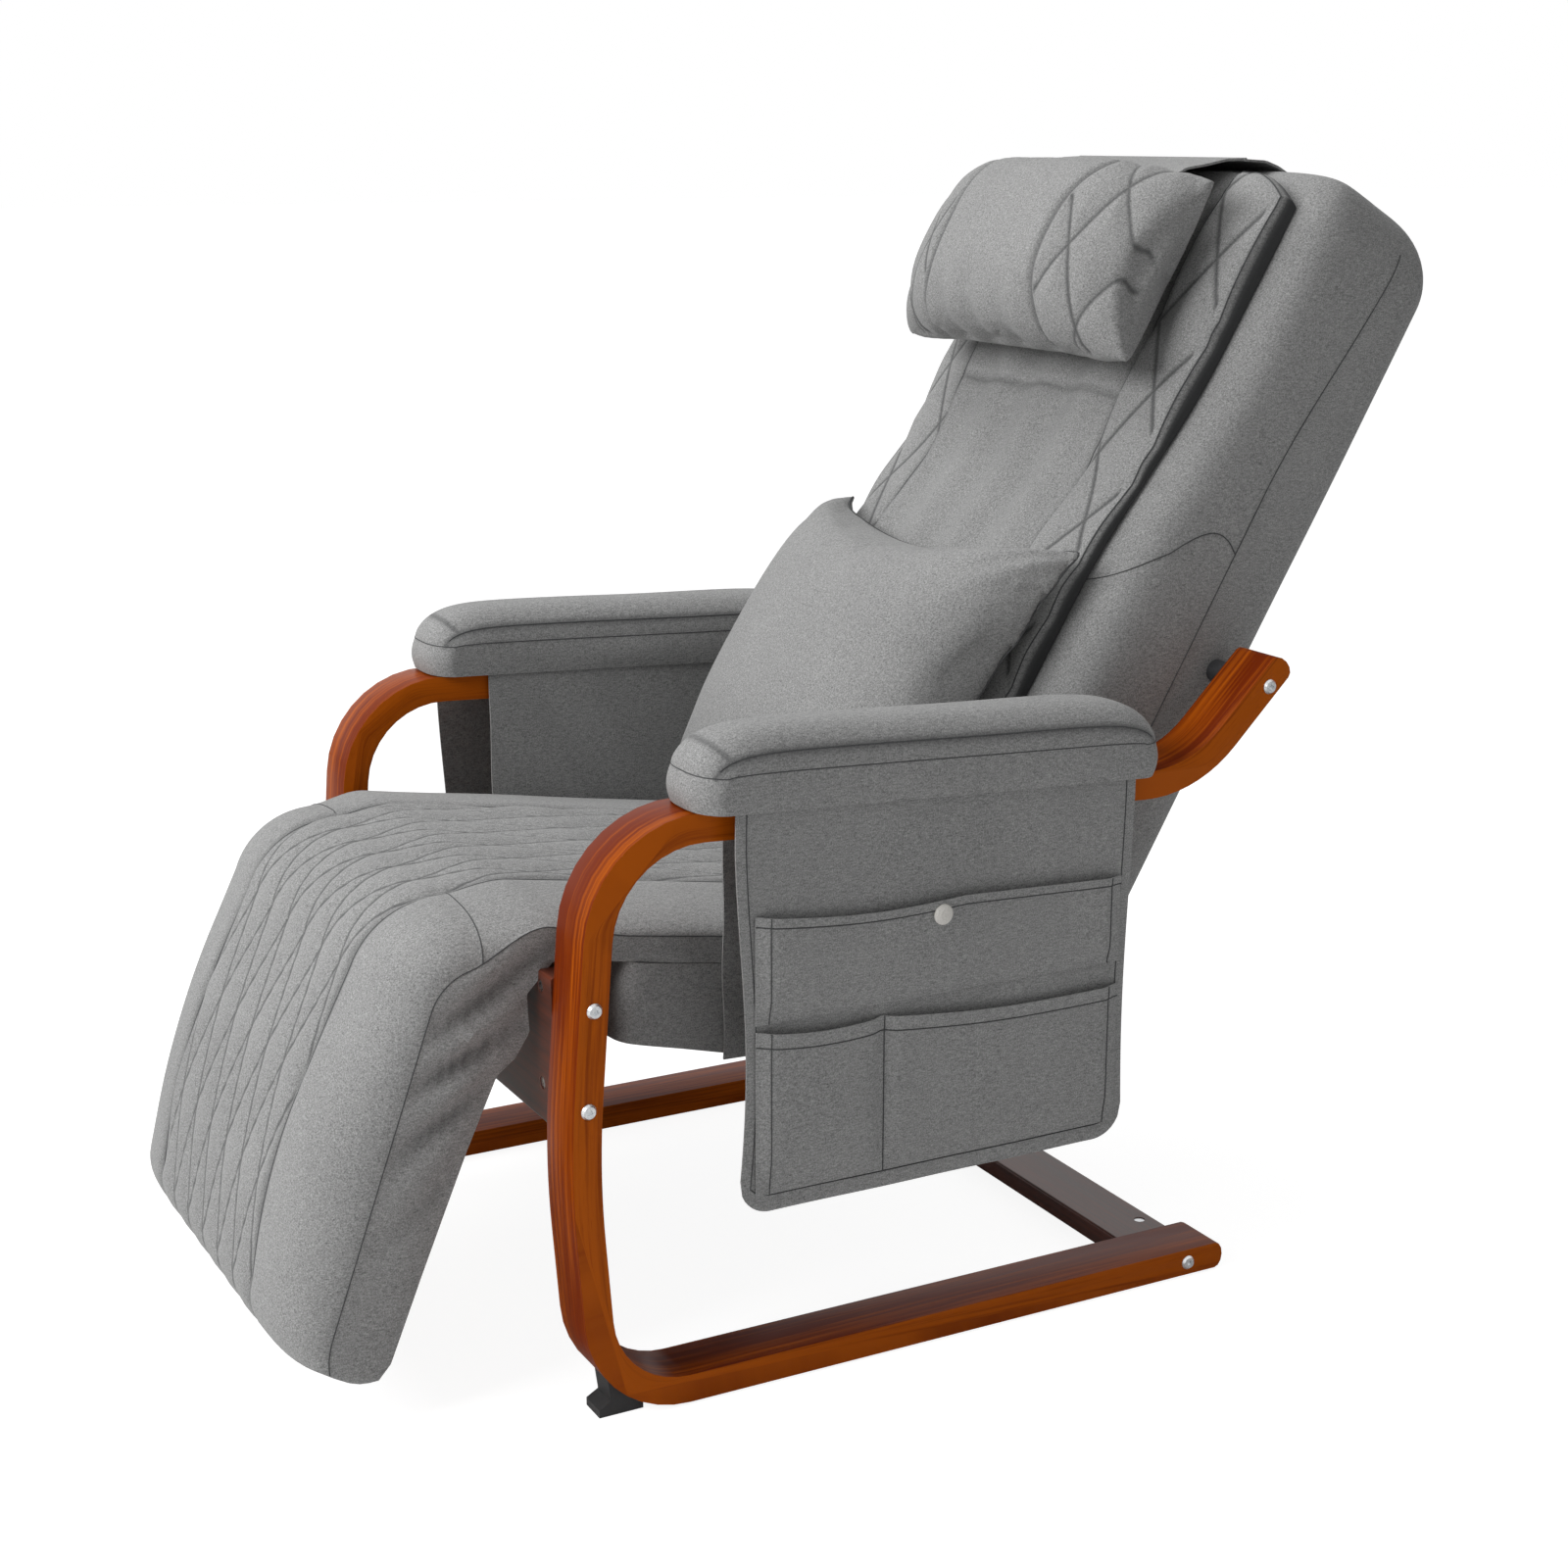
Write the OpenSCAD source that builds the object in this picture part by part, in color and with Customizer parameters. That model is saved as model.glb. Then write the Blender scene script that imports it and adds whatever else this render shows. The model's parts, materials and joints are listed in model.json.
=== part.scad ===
// Cantilever bentwood massage lounge chair, modelled at its real size in millimetres.
// The sitter faces -Y, +X is the sitter's left, and the floor is the plane z = 0.
// Depths are measured from a plane a little in front of the seat's middle and moved to the
// middle of the whole chair by depth_mid.

/* [Bent side frames] */
// Width over the outer faces of the two side frames
frame_w = 712; // [660:1:780]
// Width of the bent laminated strip
strip_w = 60; // [50:1:66]
// Thickness of the bent laminated strip
strip_t = 28; // [24:0.5:30]
// Height of the arm's middle line over the front leg
arm_front_h = 566; // [550:1:590]
// Height of the arm's middle line where its rear end turns up
arm_rear_h = 538; // [525:1:550]
// Depth at which the arm's rear end turns up
arm_turn_y = 350; // [340:1:360]
// Rise, and run, of the arm's rear end
arm_tip_rise = 104; // [98:1:112]
// Depth of the front leg at the arm, forward of the datum
leg_top_y = 288; // [284:1:292]
// Depth of the front leg at its bow, forward of the datum
leg_bow_y = 313; // [309:1:316]
// Height of the front leg's bow
leg_bow_h = 253; // [220:1:280]
// Depth of the front leg at the floor, forward of the datum
leg_foot_y = 295; // [292:1:300]
// Depth of the runner's rear end
runner_rear_y = 405; // [400:1:440]
// Bend radius from arm to front leg, on the middle line
arm_bend_r = 102; // [80:1:112]
// Bend radius from front leg to runner, on the middle line
foot_bend_r = 92; // [80:1:105]
// Bend radius of the arm's rear end, on the middle line
tip_bend_r = 130; // [110:1:140]

/* [Crossbars and fasteners] */
// Thickness of both crossbars
bar_t = 22; // [18:1:24]
// Top edge of the front crossbar above the floor
front_bar_top = 422; // [418:1:423]
// Height of the front crossbar's plank
front_bar_h = 147; // [130:1:155]
// Depth of the rear crossbar's plank
rear_bar_w = 67; // [55:1:75]
// Distance from the rear crossbar's rear edge to the runner's rear end
rear_bar_inset = 19; // [16:1:30]
// Diameter of the frame bolts' shanks
bolt_d = 8; // [6:0.5:9]
// Diameter of the frame bolts' heads
bolt_head_d = 15; // [13:0.5:18]
// Height between the two front bolts
front_bolt_gap = 94; // [80:1:100]
// Height of the upper front bolt
front_bolt_h = 407; // [400:1:409]

/* [Arm pads and side pockets] */
// Length of an arm pad
pad_l = 502; // [480:1:515]
// Depth of an arm pad's front end, forward of the datum
pad_front_y = 204; // [195:1:212]
// Height of an arm pad over its board
pad_h = 67; // [60:1:76]
// Width of an arm pad
pad_w = 94; // [88:1:100]
// Thickness of the board under an arm pad
pad_board_t = 9; // [6:1:12]
// Bottom edge of the outer pocket panel above the floor
pocket_bottom = 189; // [170:1:215]
// Width of the outer pocket panel
pocket_w = 425; // [400:1:440]
// Room inside a side pocket
pocket_room = 6; // [5:0.5:12]
// Height of the upper pocket's mouth
upper_mouth_h = 478; // [465:1:490]
// Height of the lower pocket's mouth
lower_mouth_h = 368; // [350:1:380]
// Bottom edge of the inner panel above the floor
inner_bottom = 310; // [290:1:340]

/* [Back] */
// Lean of the back from upright
back_lean = 30; // [28:0.5:32]
// Height of the back's pivot above the floor
pivot_h = 625; // [618:1:630]
// Depth of the back's pivot
pivot_y = 440; // [434:1:444]
// Width of the back
back_w = 540; // [520:1:556]
// Length of the back above its pivot
back_up = 505; // [460:1:540]
// Length of the back below its lower hinge
back_tail = 13; // [6:1:20]
// Distance from the pivot to the back's rear face
back_rear_d = 60; // [54:1:66]
// Distance from the pivot to the back's front face, at the lumbar
back_front_d = 166; // [150:1:175]
// Wall of the padded back cover
cover_t = 12; // [8:1:14]
// Thickness of the quilted overlay pad
overlay_t = 38; // [28:1:45]
// Width of the overlay pad
overlay_w = 464; // [430:1:480]
// Width of the head pillow
pillow_w = 440; // [400:1:470]
// Height of the head pillow
pillow_h = 218; // [190:1:240]
// Thickness of the head pillow
pillow_t = 112; // [90:1:125]
// Width of the lumbar cushion
cushion_w = 448; // [400:1:460]
// Height of the lumbar cushion
cushion_l = 400; // [370:1:410]
// Thickness of the lumbar cushion
cushion_t = 108; // [80:1:125]

/* [Seat and leg rest] */
// Slope of the seat, down towards the back
seat_slope = 9; // [8.5:0.1:9.5]
// Width of the seat
seat_w = 560; // [540:1:568]
// Thickness of the seat cushion at its middle, over its board
seat_foam_t = 28; // [22:1:34]
// Height of the seat's side skirt at its front edge
skirt_h = 84; // [70:1:100]
// Lean of the leg rest from upright
leg_lean = 19.6; // [17:0.1:22]
// Width of the leg rest
leg_w = 530; // [500:1:536]
// Length of the leg rest below its hinge
leg_l = 347; // [300:1:350]
// Radius of the leg rest's rolled top at its side seams
roll_side_r = 34; // [32:1:38]
// Radius of the leg rest's rolled top at its middle
roll_mid_r = 78; // [70:1:80]
// Half the width of the quilted middle panel
quilt_half_w = 156; // [140:1:165]
// Number of quilted diamonds across the middle panel
quilt_count = 6; // [4:1:8]
// Depth of the quilting
quilt_d = 6; // [3:0.5:8]

/* [Massage mechanism] */
// Diameter of the carriage's guide rods
rod_d = 12; // [10:1:14]
// Distance between the guide rods
rod_gap = 140; // [120:2:150]
// Diameter of the lead screw
screw_d = 14; // [12:1:16]
// Height that the carriage travels
travel = 300; // [200:10:310]
// Diameter of a kneading disc
disc_d = 76; // [60:2:84]
// Diameter of a kneading ball
ball_d = 28; // [22:1:30]

/* [Hidden] */
$fn = 48;

// Distance from the depth datum to the middle of the whole chair
depth_mid = 72;
// Steps in a bend of the wood, and in a rounded outline corner
bend_steps = 9;
corner_steps = 5;
// Clearances: a face that slides or passes, a running shaft, a cut's overrun
gap = 0.3;
run_gap = 0.05;
cut = 1;

// Colours, as the object shows them
c_wood = [0.62, 0.30, 0.10];
c_dark_wood = [0.36, 0.15, 0.09];
c_cloth = [0.45, 0.46, 0.46];
c_steel = [0.30, 0.31, 0.33];
c_zinc = [0.80, 0.80, 0.80];
c_black = [0.06, 0.06, 0.06];
c_board = [0.70, 0.55, 0.36];
c_nylon = [0.88, 0.87, 0.82];

// Places worked out from the sizes above
out_x = frame_w/2;
in_x = out_x - strip_w;
mid_x = out_x - strip_w/2;
strip_r = strip_t/2;
felt_t = 2;
runner_z = strip_r + felt_t;
leg_slope = (leg_bow_y - leg_top_y)/(arm_front_h - leg_bow_h);
function leg_y(h) = -leg_bow_y + (h > leg_bow_h ? (h - leg_bow_h)*leg_slope
    : (leg_bow_h - h)*(leg_bow_y - leg_foot_y)/(leg_bow_h - runner_z));
function arm_z(y) = arm_rear_h + (arm_turn_y - y)*(arm_front_h - arm_rear_h)/(arm_turn_y + leg_top_y);
arm_slope_a = atan((arm_front_h - arm_rear_h)/(arm_turn_y + leg_top_y));
pivot = [pivot_y, pivot_h];

// A point given as depth and height, in the frame of a part that leans back by lean about o
function into(o, lean, p) = [(p.x - o.x)*cos(lean) - (p.y - o.y)*sin(lean),
    (p.x - o.x)*sin(lean) + (p.y - o.y)*cos(lean)];
function out_of(o, lean, p) = [o.x + p.x*cos(lean) + p.y*sin(lean),
    o.y - p.x*sin(lean) + p.y*cos(lean)];

// Path and outline helpers
function unit(v) = v/norm(v);
function side(v) = [-v.y, v.x];
function turn(v, a) = [v.x*cos(a) - v.y*sin(a), v.x*sin(a) + v.y*cos(a)];
function bend(a, b, c, r, n) = let(u = unit(b - a), v = unit(c - b),
    ang = acos(min(1, u*v)), s = sign(cross(u, v)), t = r*tan(ang/2),
    o = b - u*t + side(u)*s*r) [for (i = [0:n]) o + turn(b - u*t - o, s*ang*i/n)];
function path(p, r, n) = concat([p[0]],
    [for (i = [1:len(p) - 2]) each bend(p[i - 1], p[i], p[i + 1], r[i - 1], n)], [p[len(p) - 1]]);
function heading(p, i) = unit(p[min(i + 1, len(p) - 1)] - p[max(i - 1, 0)]);
function ribbon(p, half, cap) = let(n = len(p), e = heading(p, n - 1), s = heading(p, 0))
    concat([for (i = [0:n - 1]) p[i] - side(heading(p, i))*half],
        [for (a = [-60:30:60]) p[n - 1] + e*cap*cos(a) + side(e)*half*sin(a)],
        [for (i = [n - 1:-1:0]) p[i] + side(heading(p, i))*half],
        [for (a = [60:-30:-60]) p[0] - s*cap*cos(a) + side(s)*half*sin(a)]);
function rounded(p, r, n) = let(m = len(p))
    [for (i = [0:m - 1]) each bend(p[(i + m - 1) % m], p[i], p[(i + 1) % m], r[i], n)];

// An outline of depth and height, run along X from x0 over w
module along_x(x0, w) {
    translate([x0, 0, 0]) rotate([90, 0, 90]) linear_extrude(w) children();
}
// A bar along X, centred on p = [depth, height]
module x_rod(x0, w, p, d) {
    translate([x0, p.x, p.y]) rotate([0, 90, 0]) cylinder(h = w, d = d);
}
module on_right() { mirror([1, 0, 0]) children(); }
module both() { children(); on_right() children(); }
module centred() { translate([0, -depth_mid, 0]) children(); }
// A leaning part's own frame: local Y is the rearward normal and local Z runs up the part
module leaning(o, lean) { translate([0, o.x, o.y]) rotate([-lean, 0, 0]) children(); }

// Loops of points, skinned from one to the next; even cells cut one way and odd the other
function skin_faces(m, n) = [for (i = [0:m - 2], j = [0:n - 1]) let(k = (j + 1) % n,
    a = i*n + j, b = i*n + k, c = (i + 1)*n + k, d = (i + 1)*n + j)
    each (((i + j) % 2 == 0) ? [[a, b, c], [a, c, d]] : [[a, b, d], [b, c, d]])];
module skin(loops) {
    m = len(loops);
    n = len(loops[0]);
    polyhedron([for (l = loops) each l], concat(skin_faces(m, n),
        [[for (j = [n - 1:-1:0]) j], [for (j = [0:n - 1]) (m - 1)*n + j]]), convexity = 6);
}
// A form lofted along X: profile loops of [depth, height], one for each x
module x_loft(xs, loops) {
    skin([for (i = [0:len(xs) - 1]) [for (p = loops[i]) [xs[i], p.x, p.y]]]);
}
// Stations from -w to w, closer together at the ends
function stations(w, n) = [for (i = [0:n]) w*sin(90*(2*i/n - 1))];
// Plumpness: 1 at the middle and 0 at the edge, with a full shoulder
function plump(u, p) = pow(max(0, 1 - pow(abs(u), p)), 0.6);
// Quilting: 0 on the seams and 1 at the middle of each diamond
function from_seam(w) = 2*abs(w - round(w));
function puff(u, v) = min(from_seam(u + v), from_seam(u - v));

// Bent side frame
runner_end = [runner_rear_y, runner_z];
arm_tip = [arm_turn_y + arm_tip_rise, arm_rear_h + arm_tip_rise];
bow_r_share = 2.9;
strip_line = path([arm_tip, [arm_turn_y, arm_rear_h], [-leg_top_y, arm_front_h],
    [-leg_bow_y, leg_bow_h], [-leg_foot_y, runner_z], runner_end],
    [tip_bend_r, arm_bend_r, leg_bow_y*bow_r_share, foot_bend_r], bend_steps);
end_round = 9;
front_bolts = [for (h = [front_bolt_h, front_bolt_h - front_bolt_gap]) [leg_y(h), h]];
rear_bar_y = runner_rear_y - rear_bar_inset - rear_bar_w/2;
rear_bolts = [[rear_bar_y + rear_bar_w/4, runner_z]];
bolts = concat(front_bolts, rear_bolts);
bolt_bore = bolt_d + 2*run_gap;
pivot_bolt_d = 10;
pivot_bore = pivot_bolt_d + 2*run_gap;
screw_shank_d = 5;
screw_ys = [for (s = [0.2, 0.8]) -pad_front_y + s*pad_l];
module arm_frame_at(y) {
    translate([0, y, arm_z(y)]) rotate([-arm_slope_a, 0, 0]) children();
}
module left_side_frame() {
    color(c_wood) centred() difference() {
        along_x(in_x, strip_w) polygon(ribbon(strip_line, strip_r, end_round));
        for (p = bolts) x_rod(in_x - cut, strip_w + 2*cut, p, bolt_bore);
        x_rod(in_x - cut, strip_w + 2*cut, pivot, pivot_bore);
        for (y = screw_ys) arm_frame_at(y) translate([mid_x, 0, -strip_r - cut])
            cylinder(h = strip_t + 2*cut, d = screw_shank_d + 2*run_gap);
    }
}
module right_side_frame() { on_right() left_side_frame(); }

// Crossbars, their bolts and barrel nuts
bar_l = 2*in_x;
front_bar_y = leg_y(front_bar_top - front_bar_h/2);
bolt_reach = 38;
nut_d = 12;
nut_depth = 26;
glide_d = 12;
glide_l = 44;
glide_proud = 4;
rail_x = 200;
bar_edge_r = 3;
module bar_holes(ps) {
    both() for (p = ps) x_rod(in_x - bolt_reach, bolt_reach + cut, p, bolt_bore);
}
module front_crossbar() {
    y0 = front_bar_y - bar_t/2;
    z0 = front_bar_top - front_bar_h;
    color(c_dark_wood) centred() difference() {
        along_x(-in_x, bar_l) polygon(rounded([[y0, z0], [y0 + bar_t, z0],
            [y0 + bar_t, front_bar_top], [y0, front_bar_top]],
            [for (i = [0:3]) bar_edge_r], corner_steps));
        bar_holes(front_bolts);
        both() for (p = front_bolts) translate([in_x - nut_depth, y0 - cut, p.y])
            rotate([-90, 0, 0]) cylinder(h = bar_t + 2*cut, d = nut_d);
        both() x_rod(rail_x - glide_l/2, glide_l, [front_bar_y, front_bar_top + glide_proud
            - glide_d/2], glide_d);
    }
}
module rear_crossbar() {
    y0 = rear_bar_y - rear_bar_w/2;
    z1 = runner_z + strip_r;
    z0 = z1 - bar_t;
    color(c_dark_wood) centred() difference() {
        along_x(-in_x, bar_l) polygon(rounded([[y0, z0], [y0 + rear_bar_w, z0],
            [y0 + rear_bar_w, z1], [y0, z1]],
            [for (i = [0:3]) bar_edge_r], corner_steps));
        bar_holes(rear_bolts);
        both() for (p = rear_bolts) translate([in_x - nut_depth, p.x, z0 - cut])
            cylinder(h = bar_t + 2*cut, d = nut_d);
    }
}
head_t = 3.5;
socket_d = 6;
socket_depth = 2.5;
// A button-head bolt with a six-sided socket, its head on the wood's outer face
module side_bolt(p, d, reach) {
    difference() {
        union() {
            x_rod(out_x - reach, reach, p, d);
            translate([out_x, p.x, p.y]) rotate([0, 90, 0]) rotate_extrude()
                polygon([[0, 0], [bolt_head_d/2, 0], [bolt_head_d/2, head_t/3],
                    [bolt_head_d/2 - head_t/2, head_t], [0, head_t]]);
        }
        translate([out_x + head_t - socket_depth, p.x, p.y]) rotate([0, 90, 0])
            cylinder(h = socket_depth + cut, d = socket_d, $fn = 6);
    }
}
module frame_bolts() {
    color(c_zinc) centred() both() for (p = bolts) side_bolt(p, bolt_d, strip_w + bolt_reach - gap);
}
module barrel_nuts() {
    bore = bolt_d + 2*run_gap;
    wide = nut_d - 2*run_gap;
    color(c_zinc) centred() both() {
        for (p = front_bolts) difference() {
            translate([in_x - nut_depth, front_bar_y - bar_t/2 + cut, p.y]) rotate([-90, 0, 0])
                cylinder(h = bar_t - 2*cut, d = wide);
            x_rod(in_x - bolt_reach, bolt_reach, p, bore);
        }
        for (p = rear_bolts) difference() {
            translate([in_x - nut_depth, p.x, runner_z + strip_r - bar_t + cut])
                cylinder(h = bar_t - 2*cut, d = wide);
            x_rod(in_x - bolt_reach, bolt_reach, p, bore);
        }
    }
}

// Anti-tip feet in front of the lower bends, and thin pads under the runners' rear ends
foot_w = 30;
foot_front = -6;
foot_back = 37;
foot_h = 44;
foot_flare = 8;
felt_d = 34;
module front_feet() {
    y0 = -leg_foot_y - foot_front;
    color(c_black) centred() both() difference() {
        along_x(mid_x - foot_w/2, foot_w) polygon([[y0 - foot_flare, 0], [y0 + foot_back, 0],
            [y0 + foot_back, foot_h/3], [y0 + foot_back/2, foot_h], [y0, foot_h],
            [y0 + foot_flare/2, foot_h/3], [y0 - foot_flare, foot_flare]]);
        along_x(mid_x - strip_w/2, strip_w) polygon(ribbon(strip_line, strip_r, end_round));
    }
}
module rear_pads() {
    color(c_black) centred() both() translate([mid_x, rear_bar_y, 0])
        cylinder(h = felt_t, d = felt_d);
}
module seat_glides() {
    color(c_nylon) centred() both() x_rod(rail_x - glide_l/2 + gap, glide_l - 2*gap,
        [front_bar_y, front_bar_top + glide_proud - glide_d/2], glide_d - 2*run_gap);
}

// Boards under the arm pads, their screws, and the pads
board_in = 4;
board_out = 18;
board_x = in_x - board_in;
board_w = strip_w + board_in + board_out;
board_inset = 16;
board_l = pad_l - 2*board_inset;
pad_mid_y = pad_l/2 - pad_front_y;
pad_x = board_x + board_w/2;
pad_z = strip_r + pad_board_t;
screw_in = 7;
screw_head_d = 10;
screw_head_t = 3;
board_r = 14;
module left_arm_board() {
    color(c_board) centred() difference() {
        arm_frame_at(pad_mid_y) translate([0, 0, strip_r]) linear_extrude(pad_board_t)
            polygon(rounded([[board_x, -board_l/2], [board_x + board_w, -board_l/2],
                [board_x + board_w, board_l/2], [board_x, board_l/2]],
                [for (i = [0:3]) board_r], corner_steps));
        for (y = screw_ys) arm_frame_at(y) translate([mid_x, 0, strip_r - cut])
            cylinder(h = screw_in + cut, d = screw_shank_d + 2*run_gap);
    }
}
module right_arm_board() { on_right() left_arm_board(); }
module arm_screws() {
    color(c_zinc) centred() both() for (y = screw_ys) arm_frame_at(y)
        translate([mid_x, 0, -strip_r]) {
            cylinder(h = strip_t + screw_in - gap, d = screw_shank_d);
            translate([0, 0, -screw_head_t]) cylinder(h = screw_head_t, d = screw_head_d);
        }
}
// A soft form: at(u, v, s) gives its skin, u across and v along, s = 1 in front and -1 behind
module soft_form(us, vs, at) {
    skin([for (u = us) concat([for (v = vs) at(u, v, 1)],
        [for (i = [len(vs) - 1:-1:0]) at(u, vs[i], -1)])]);
}
// The same with a plain underside, base(u), which runs from the far end back to the near one
module domed_form(us, vs, at, base) {
    skin([for (u = us) concat([for (v = vs) at(u, v, 1)], base(u))]);
}
function spread(n) = [for (i = [0:n]) sin(90*(2*i/n - 1))];
function evenly(n) = [for (i = [0:n]) 2*i/n - 1];
function power(v, e) = sign(v)*pow(abs(v), e);
arm_pad_side_share = 0.42;
arm_pad_end_share = 0.9;
arm_pad_at = function (u, v, s) let(p = plump(u, 3), q = plump(v, 9),
    rise = pad_h*(arm_pad_side_share*(0.9 + 0.1*q) + (1 - arm_pad_side_share)*p*q))
    [u*pad_w/2, v*pad_l/2*(arm_pad_end_share + (1 - arm_pad_end_share)*p),
        s*rise];
arm_pad_base = function (u) let(e = arm_pad_at(u, 1, 0)) [e, [e.x, -e.y, 0]];
module left_arm_pad() {
    color(c_cloth) centred() arm_frame_at(pad_mid_y) translate([pad_x, 0, pad_z])
        domed_form(spread(8), spread(14), arm_pad_at, arm_pad_base);
}
module right_arm_pad() { on_right() left_arm_pad(); }

// Side panels: the outer one with its pockets, and the plain inner one
sheet_t = 3;
panel_x = board_x + board_w;
panel_top = pad_z - sheet_t/2;
panel_front = -pad_front_y*0.8;
panel_r = 30;
panel_wave_share = 0.03;
outer_outline = let(w = pocket_w, x = panel_front, wave = w*panel_wave_share,
    top = function (y) arm_z(y) + panel_top, waist = pocket_bottom + (upper_mouth_h - pocket_bottom))
    rounded([[x, top(x)], [x + wave, waist], [x - wave, pocket_bottom + panel_r*2],
        [x + wave/2, pocket_bottom + wave], [x + w - wave, pocket_bottom],
        [x + w, pocket_bottom + panel_r*3], [x + w - wave/2, waist], [x + w, top(x + w)]],
        [0, panel_r*3, panel_r*2, panel_r, panel_r, panel_r*2, panel_r*3, 0], corner_steps);
module left_outer_panel() {
    color(c_cloth) centred() along_x(panel_x, sheet_t) polygon(outer_outline);
}
module right_outer_panel() { on_right() left_outer_panel(); }
pocket_sheet = 2;
seam_w = 6;
pocket_x = panel_x + sheet_t;
pocket_y0 = panel_front + seam_w*2;
pocket_y1 = panel_front + pocket_w - seam_w*2;
mouth_drop_share = 0.04;
mouth_drop = pocket_w*mouth_drop_share;
divider_y = pocket_y0 + (pocket_y1 - pocket_y0)/3;
// A patch pocket from z0 up to its mouth; its room is open above
module patch_pocket(z0, mouth, split) {
    ends = [[pocket_y0, z0], [pocket_y1, z0], [pocket_y1, mouth - mouth_drop],
        [pocket_y0, mouth]];
    difference() {
        along_x(pocket_x, pocket_room + pocket_sheet)
            polygon(rounded(ends, [seam_w*2, seam_w*2, 0, 0], corner_steps));
        along_x(pocket_x - cut, pocket_room + cut) difference() {
            polygon([[pocket_y0 + seam_w, z0 + seam_w], [pocket_y1 - seam_w, z0 + seam_w],
                [pocket_y1 - seam_w, mouth + seam_w], [pocket_y0 + seam_w, mouth + seam_w]]);
            if (split) translate([divider_y - seam_w/2, z0])
                square([seam_w, mouth + seam_w - z0]);
        }
    }
}
module left_upper_pocket() {
    color(c_cloth) centred() patch_pocket(lower_mouth_h + seam_w, upper_mouth_h, false);
}
module left_lower_pocket() {
    color(c_cloth) centred() patch_pocket(pocket_bottom + seam_w*3, lower_mouth_h, true);
}
module right_upper_pocket() { on_right() left_upper_pocket(); }
module right_lower_pocket() { on_right() left_lower_pocket(); }
button_d = 20;
button_t = 4;
button_drop = 24;
module snap_button() {
    color(c_nylon) centred() both() translate([pocket_x + pocket_room + pocket_sheet,
        pocket_y0 + pocket_w/2 - 3*seam_w, upper_mouth_h - button_drop]) rotate([0, 90, 0])
        rotate_extrude() polygon([[0, 0], [button_d/2, 0], [button_d/2, button_t/3],
            [button_d/2 - button_t/3, button_t*2/3], [button_d/4, button_t], [0, button_t]]);
}
inner_w = pocket_w - 2*panel_r;
inner_y = panel_front + pocket_w/2 - seam_w;
sway_d = 2.2;
folds = 2.5;
inner_at = function (u, v, s) let(y = inner_y + u*inner_w/2, top = arm_z(y) + panel_top,
    z = inner_bottom + (top - inner_bottom)*(v + 1)/2, hang = 1 - (v + 1)/2,
    x = board_x - sheet_t/2 - hang*sway_d*(1 + sin(180*(folds*u + hang))))
    [x + s*sheet_t/2, y, z];
module left_inner_panel() {
    color(c_cloth) centred() soft_form(evenly(15), evenly(6), inner_at);
}
module right_inner_panel() { on_right() left_inner_panel(); }

// Pivots of the back: bolts through the arms' rear ends, washers and lock nuts
tube_d = 22;
tube_wall = 2;
corner_in = 22;
tube_x = back_w/2 - cover_t - corner_in - tube_d/2;
plate_t = 4;
plate_x = tube_x + tube_d/2 - plate_t/2;
washer_t = 4;
boss_d = 24;
nut_w = 16;
nut_h = 8;
nut_x = tube_x - tube_d/2 + plate_t;
module pivot_bolts() {
    color(c_zinc) centred() both() side_bolt(pivot, pivot_bolt_d, out_x - nut_x);
}
module pivot_washers() {
    color(c_black) centred() both() difference() {
        x_rod(in_x - washer_t, washer_t, pivot, boss_d);
        x_rod(in_x - washer_t - cut, washer_t + 2*cut, pivot, pivot_bore);
    }
}
module pivot_nuts() {
    color(c_zinc) centred() both() difference() {
        translate([nut_x, pivot.x, pivot.y]) rotate([0, 90, 0])
            cylinder(h = nut_h, d = nut_w, $fn = 6);
        x_rod(nut_x - cut, nut_h + 2*cut, pivot, pivot_bore);
    }
}

// The back's welded steel frame and its pivot brackets
module in_back() { centred() leaning(pivot, back_lean) children(); }
tube_y = 21;
rail_w = 20;
rail_h = 20;
seat_o = [front_bar_y, front_bar_top + glide_proud + gap];
hinge_low = 0.6;
// The lower hinge lies where the back's tubes cross the seat's rails
hinge_reach = ((pivot.x + tube_y*cos(back_lean) - seat_o.x)*sin(seat_slope)
    + (pivot.y - tube_y*sin(back_lean) - seat_o.y)*cos(seat_slope) - rail_h/2 + hinge_low)
    /cos(back_lean - seat_slope);
back_down = hinge_reach + back_tail;
frame_top_in = 75;
tube_past_hinge = 9;
low_cross_up = 47;
tube_top = back_up - frame_top_in;
tube_bottom = -(hinge_reach + tube_past_hinge);
hinge_pin_d = 8;
hinge_bore = hinge_pin_d + 2*run_gap;
cross_as = [-hinge_reach + low_cross_up, tube_top - tube_d];
hinge_pt = out_of(pivot, back_lean, [tube_y, -hinge_reach]);
module z_tube(x, y, z0, z1, d, wall) {
    translate([x, y, z0]) difference() {
        cylinder(h = z1 - z0, d = d);
        translate([0, 0, -cut]) cylinder(h = z1 - z0 + 2*cut, d = d - 2*wall);
    }
}
module back_frame() {
    color(c_steel) in_back() difference() {
        union() {
            both() z_tube(tube_x, tube_y, tube_bottom, tube_top, tube_d, tube_wall);
            for (a = cross_as) translate([0, tube_y, a]) rotate([0, 90, 0]) difference() {
                cylinder(h = 2*tube_x - tube_d + tube_wall, d = tube_d, center = true);
                cylinder(h = 2*tube_x, d = tube_d - 2*tube_wall, center = true);
            }
        }
        both() x_rod(tube_x - tube_d, 2*tube_d, [tube_y, -hinge_reach], hinge_bore);
    }
}
boss_len = in_x - washer_t - gap - plate_x;
bracket_h = 90;
bracket_w = 46;
bracket_rear = tube_y + 3;
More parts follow.
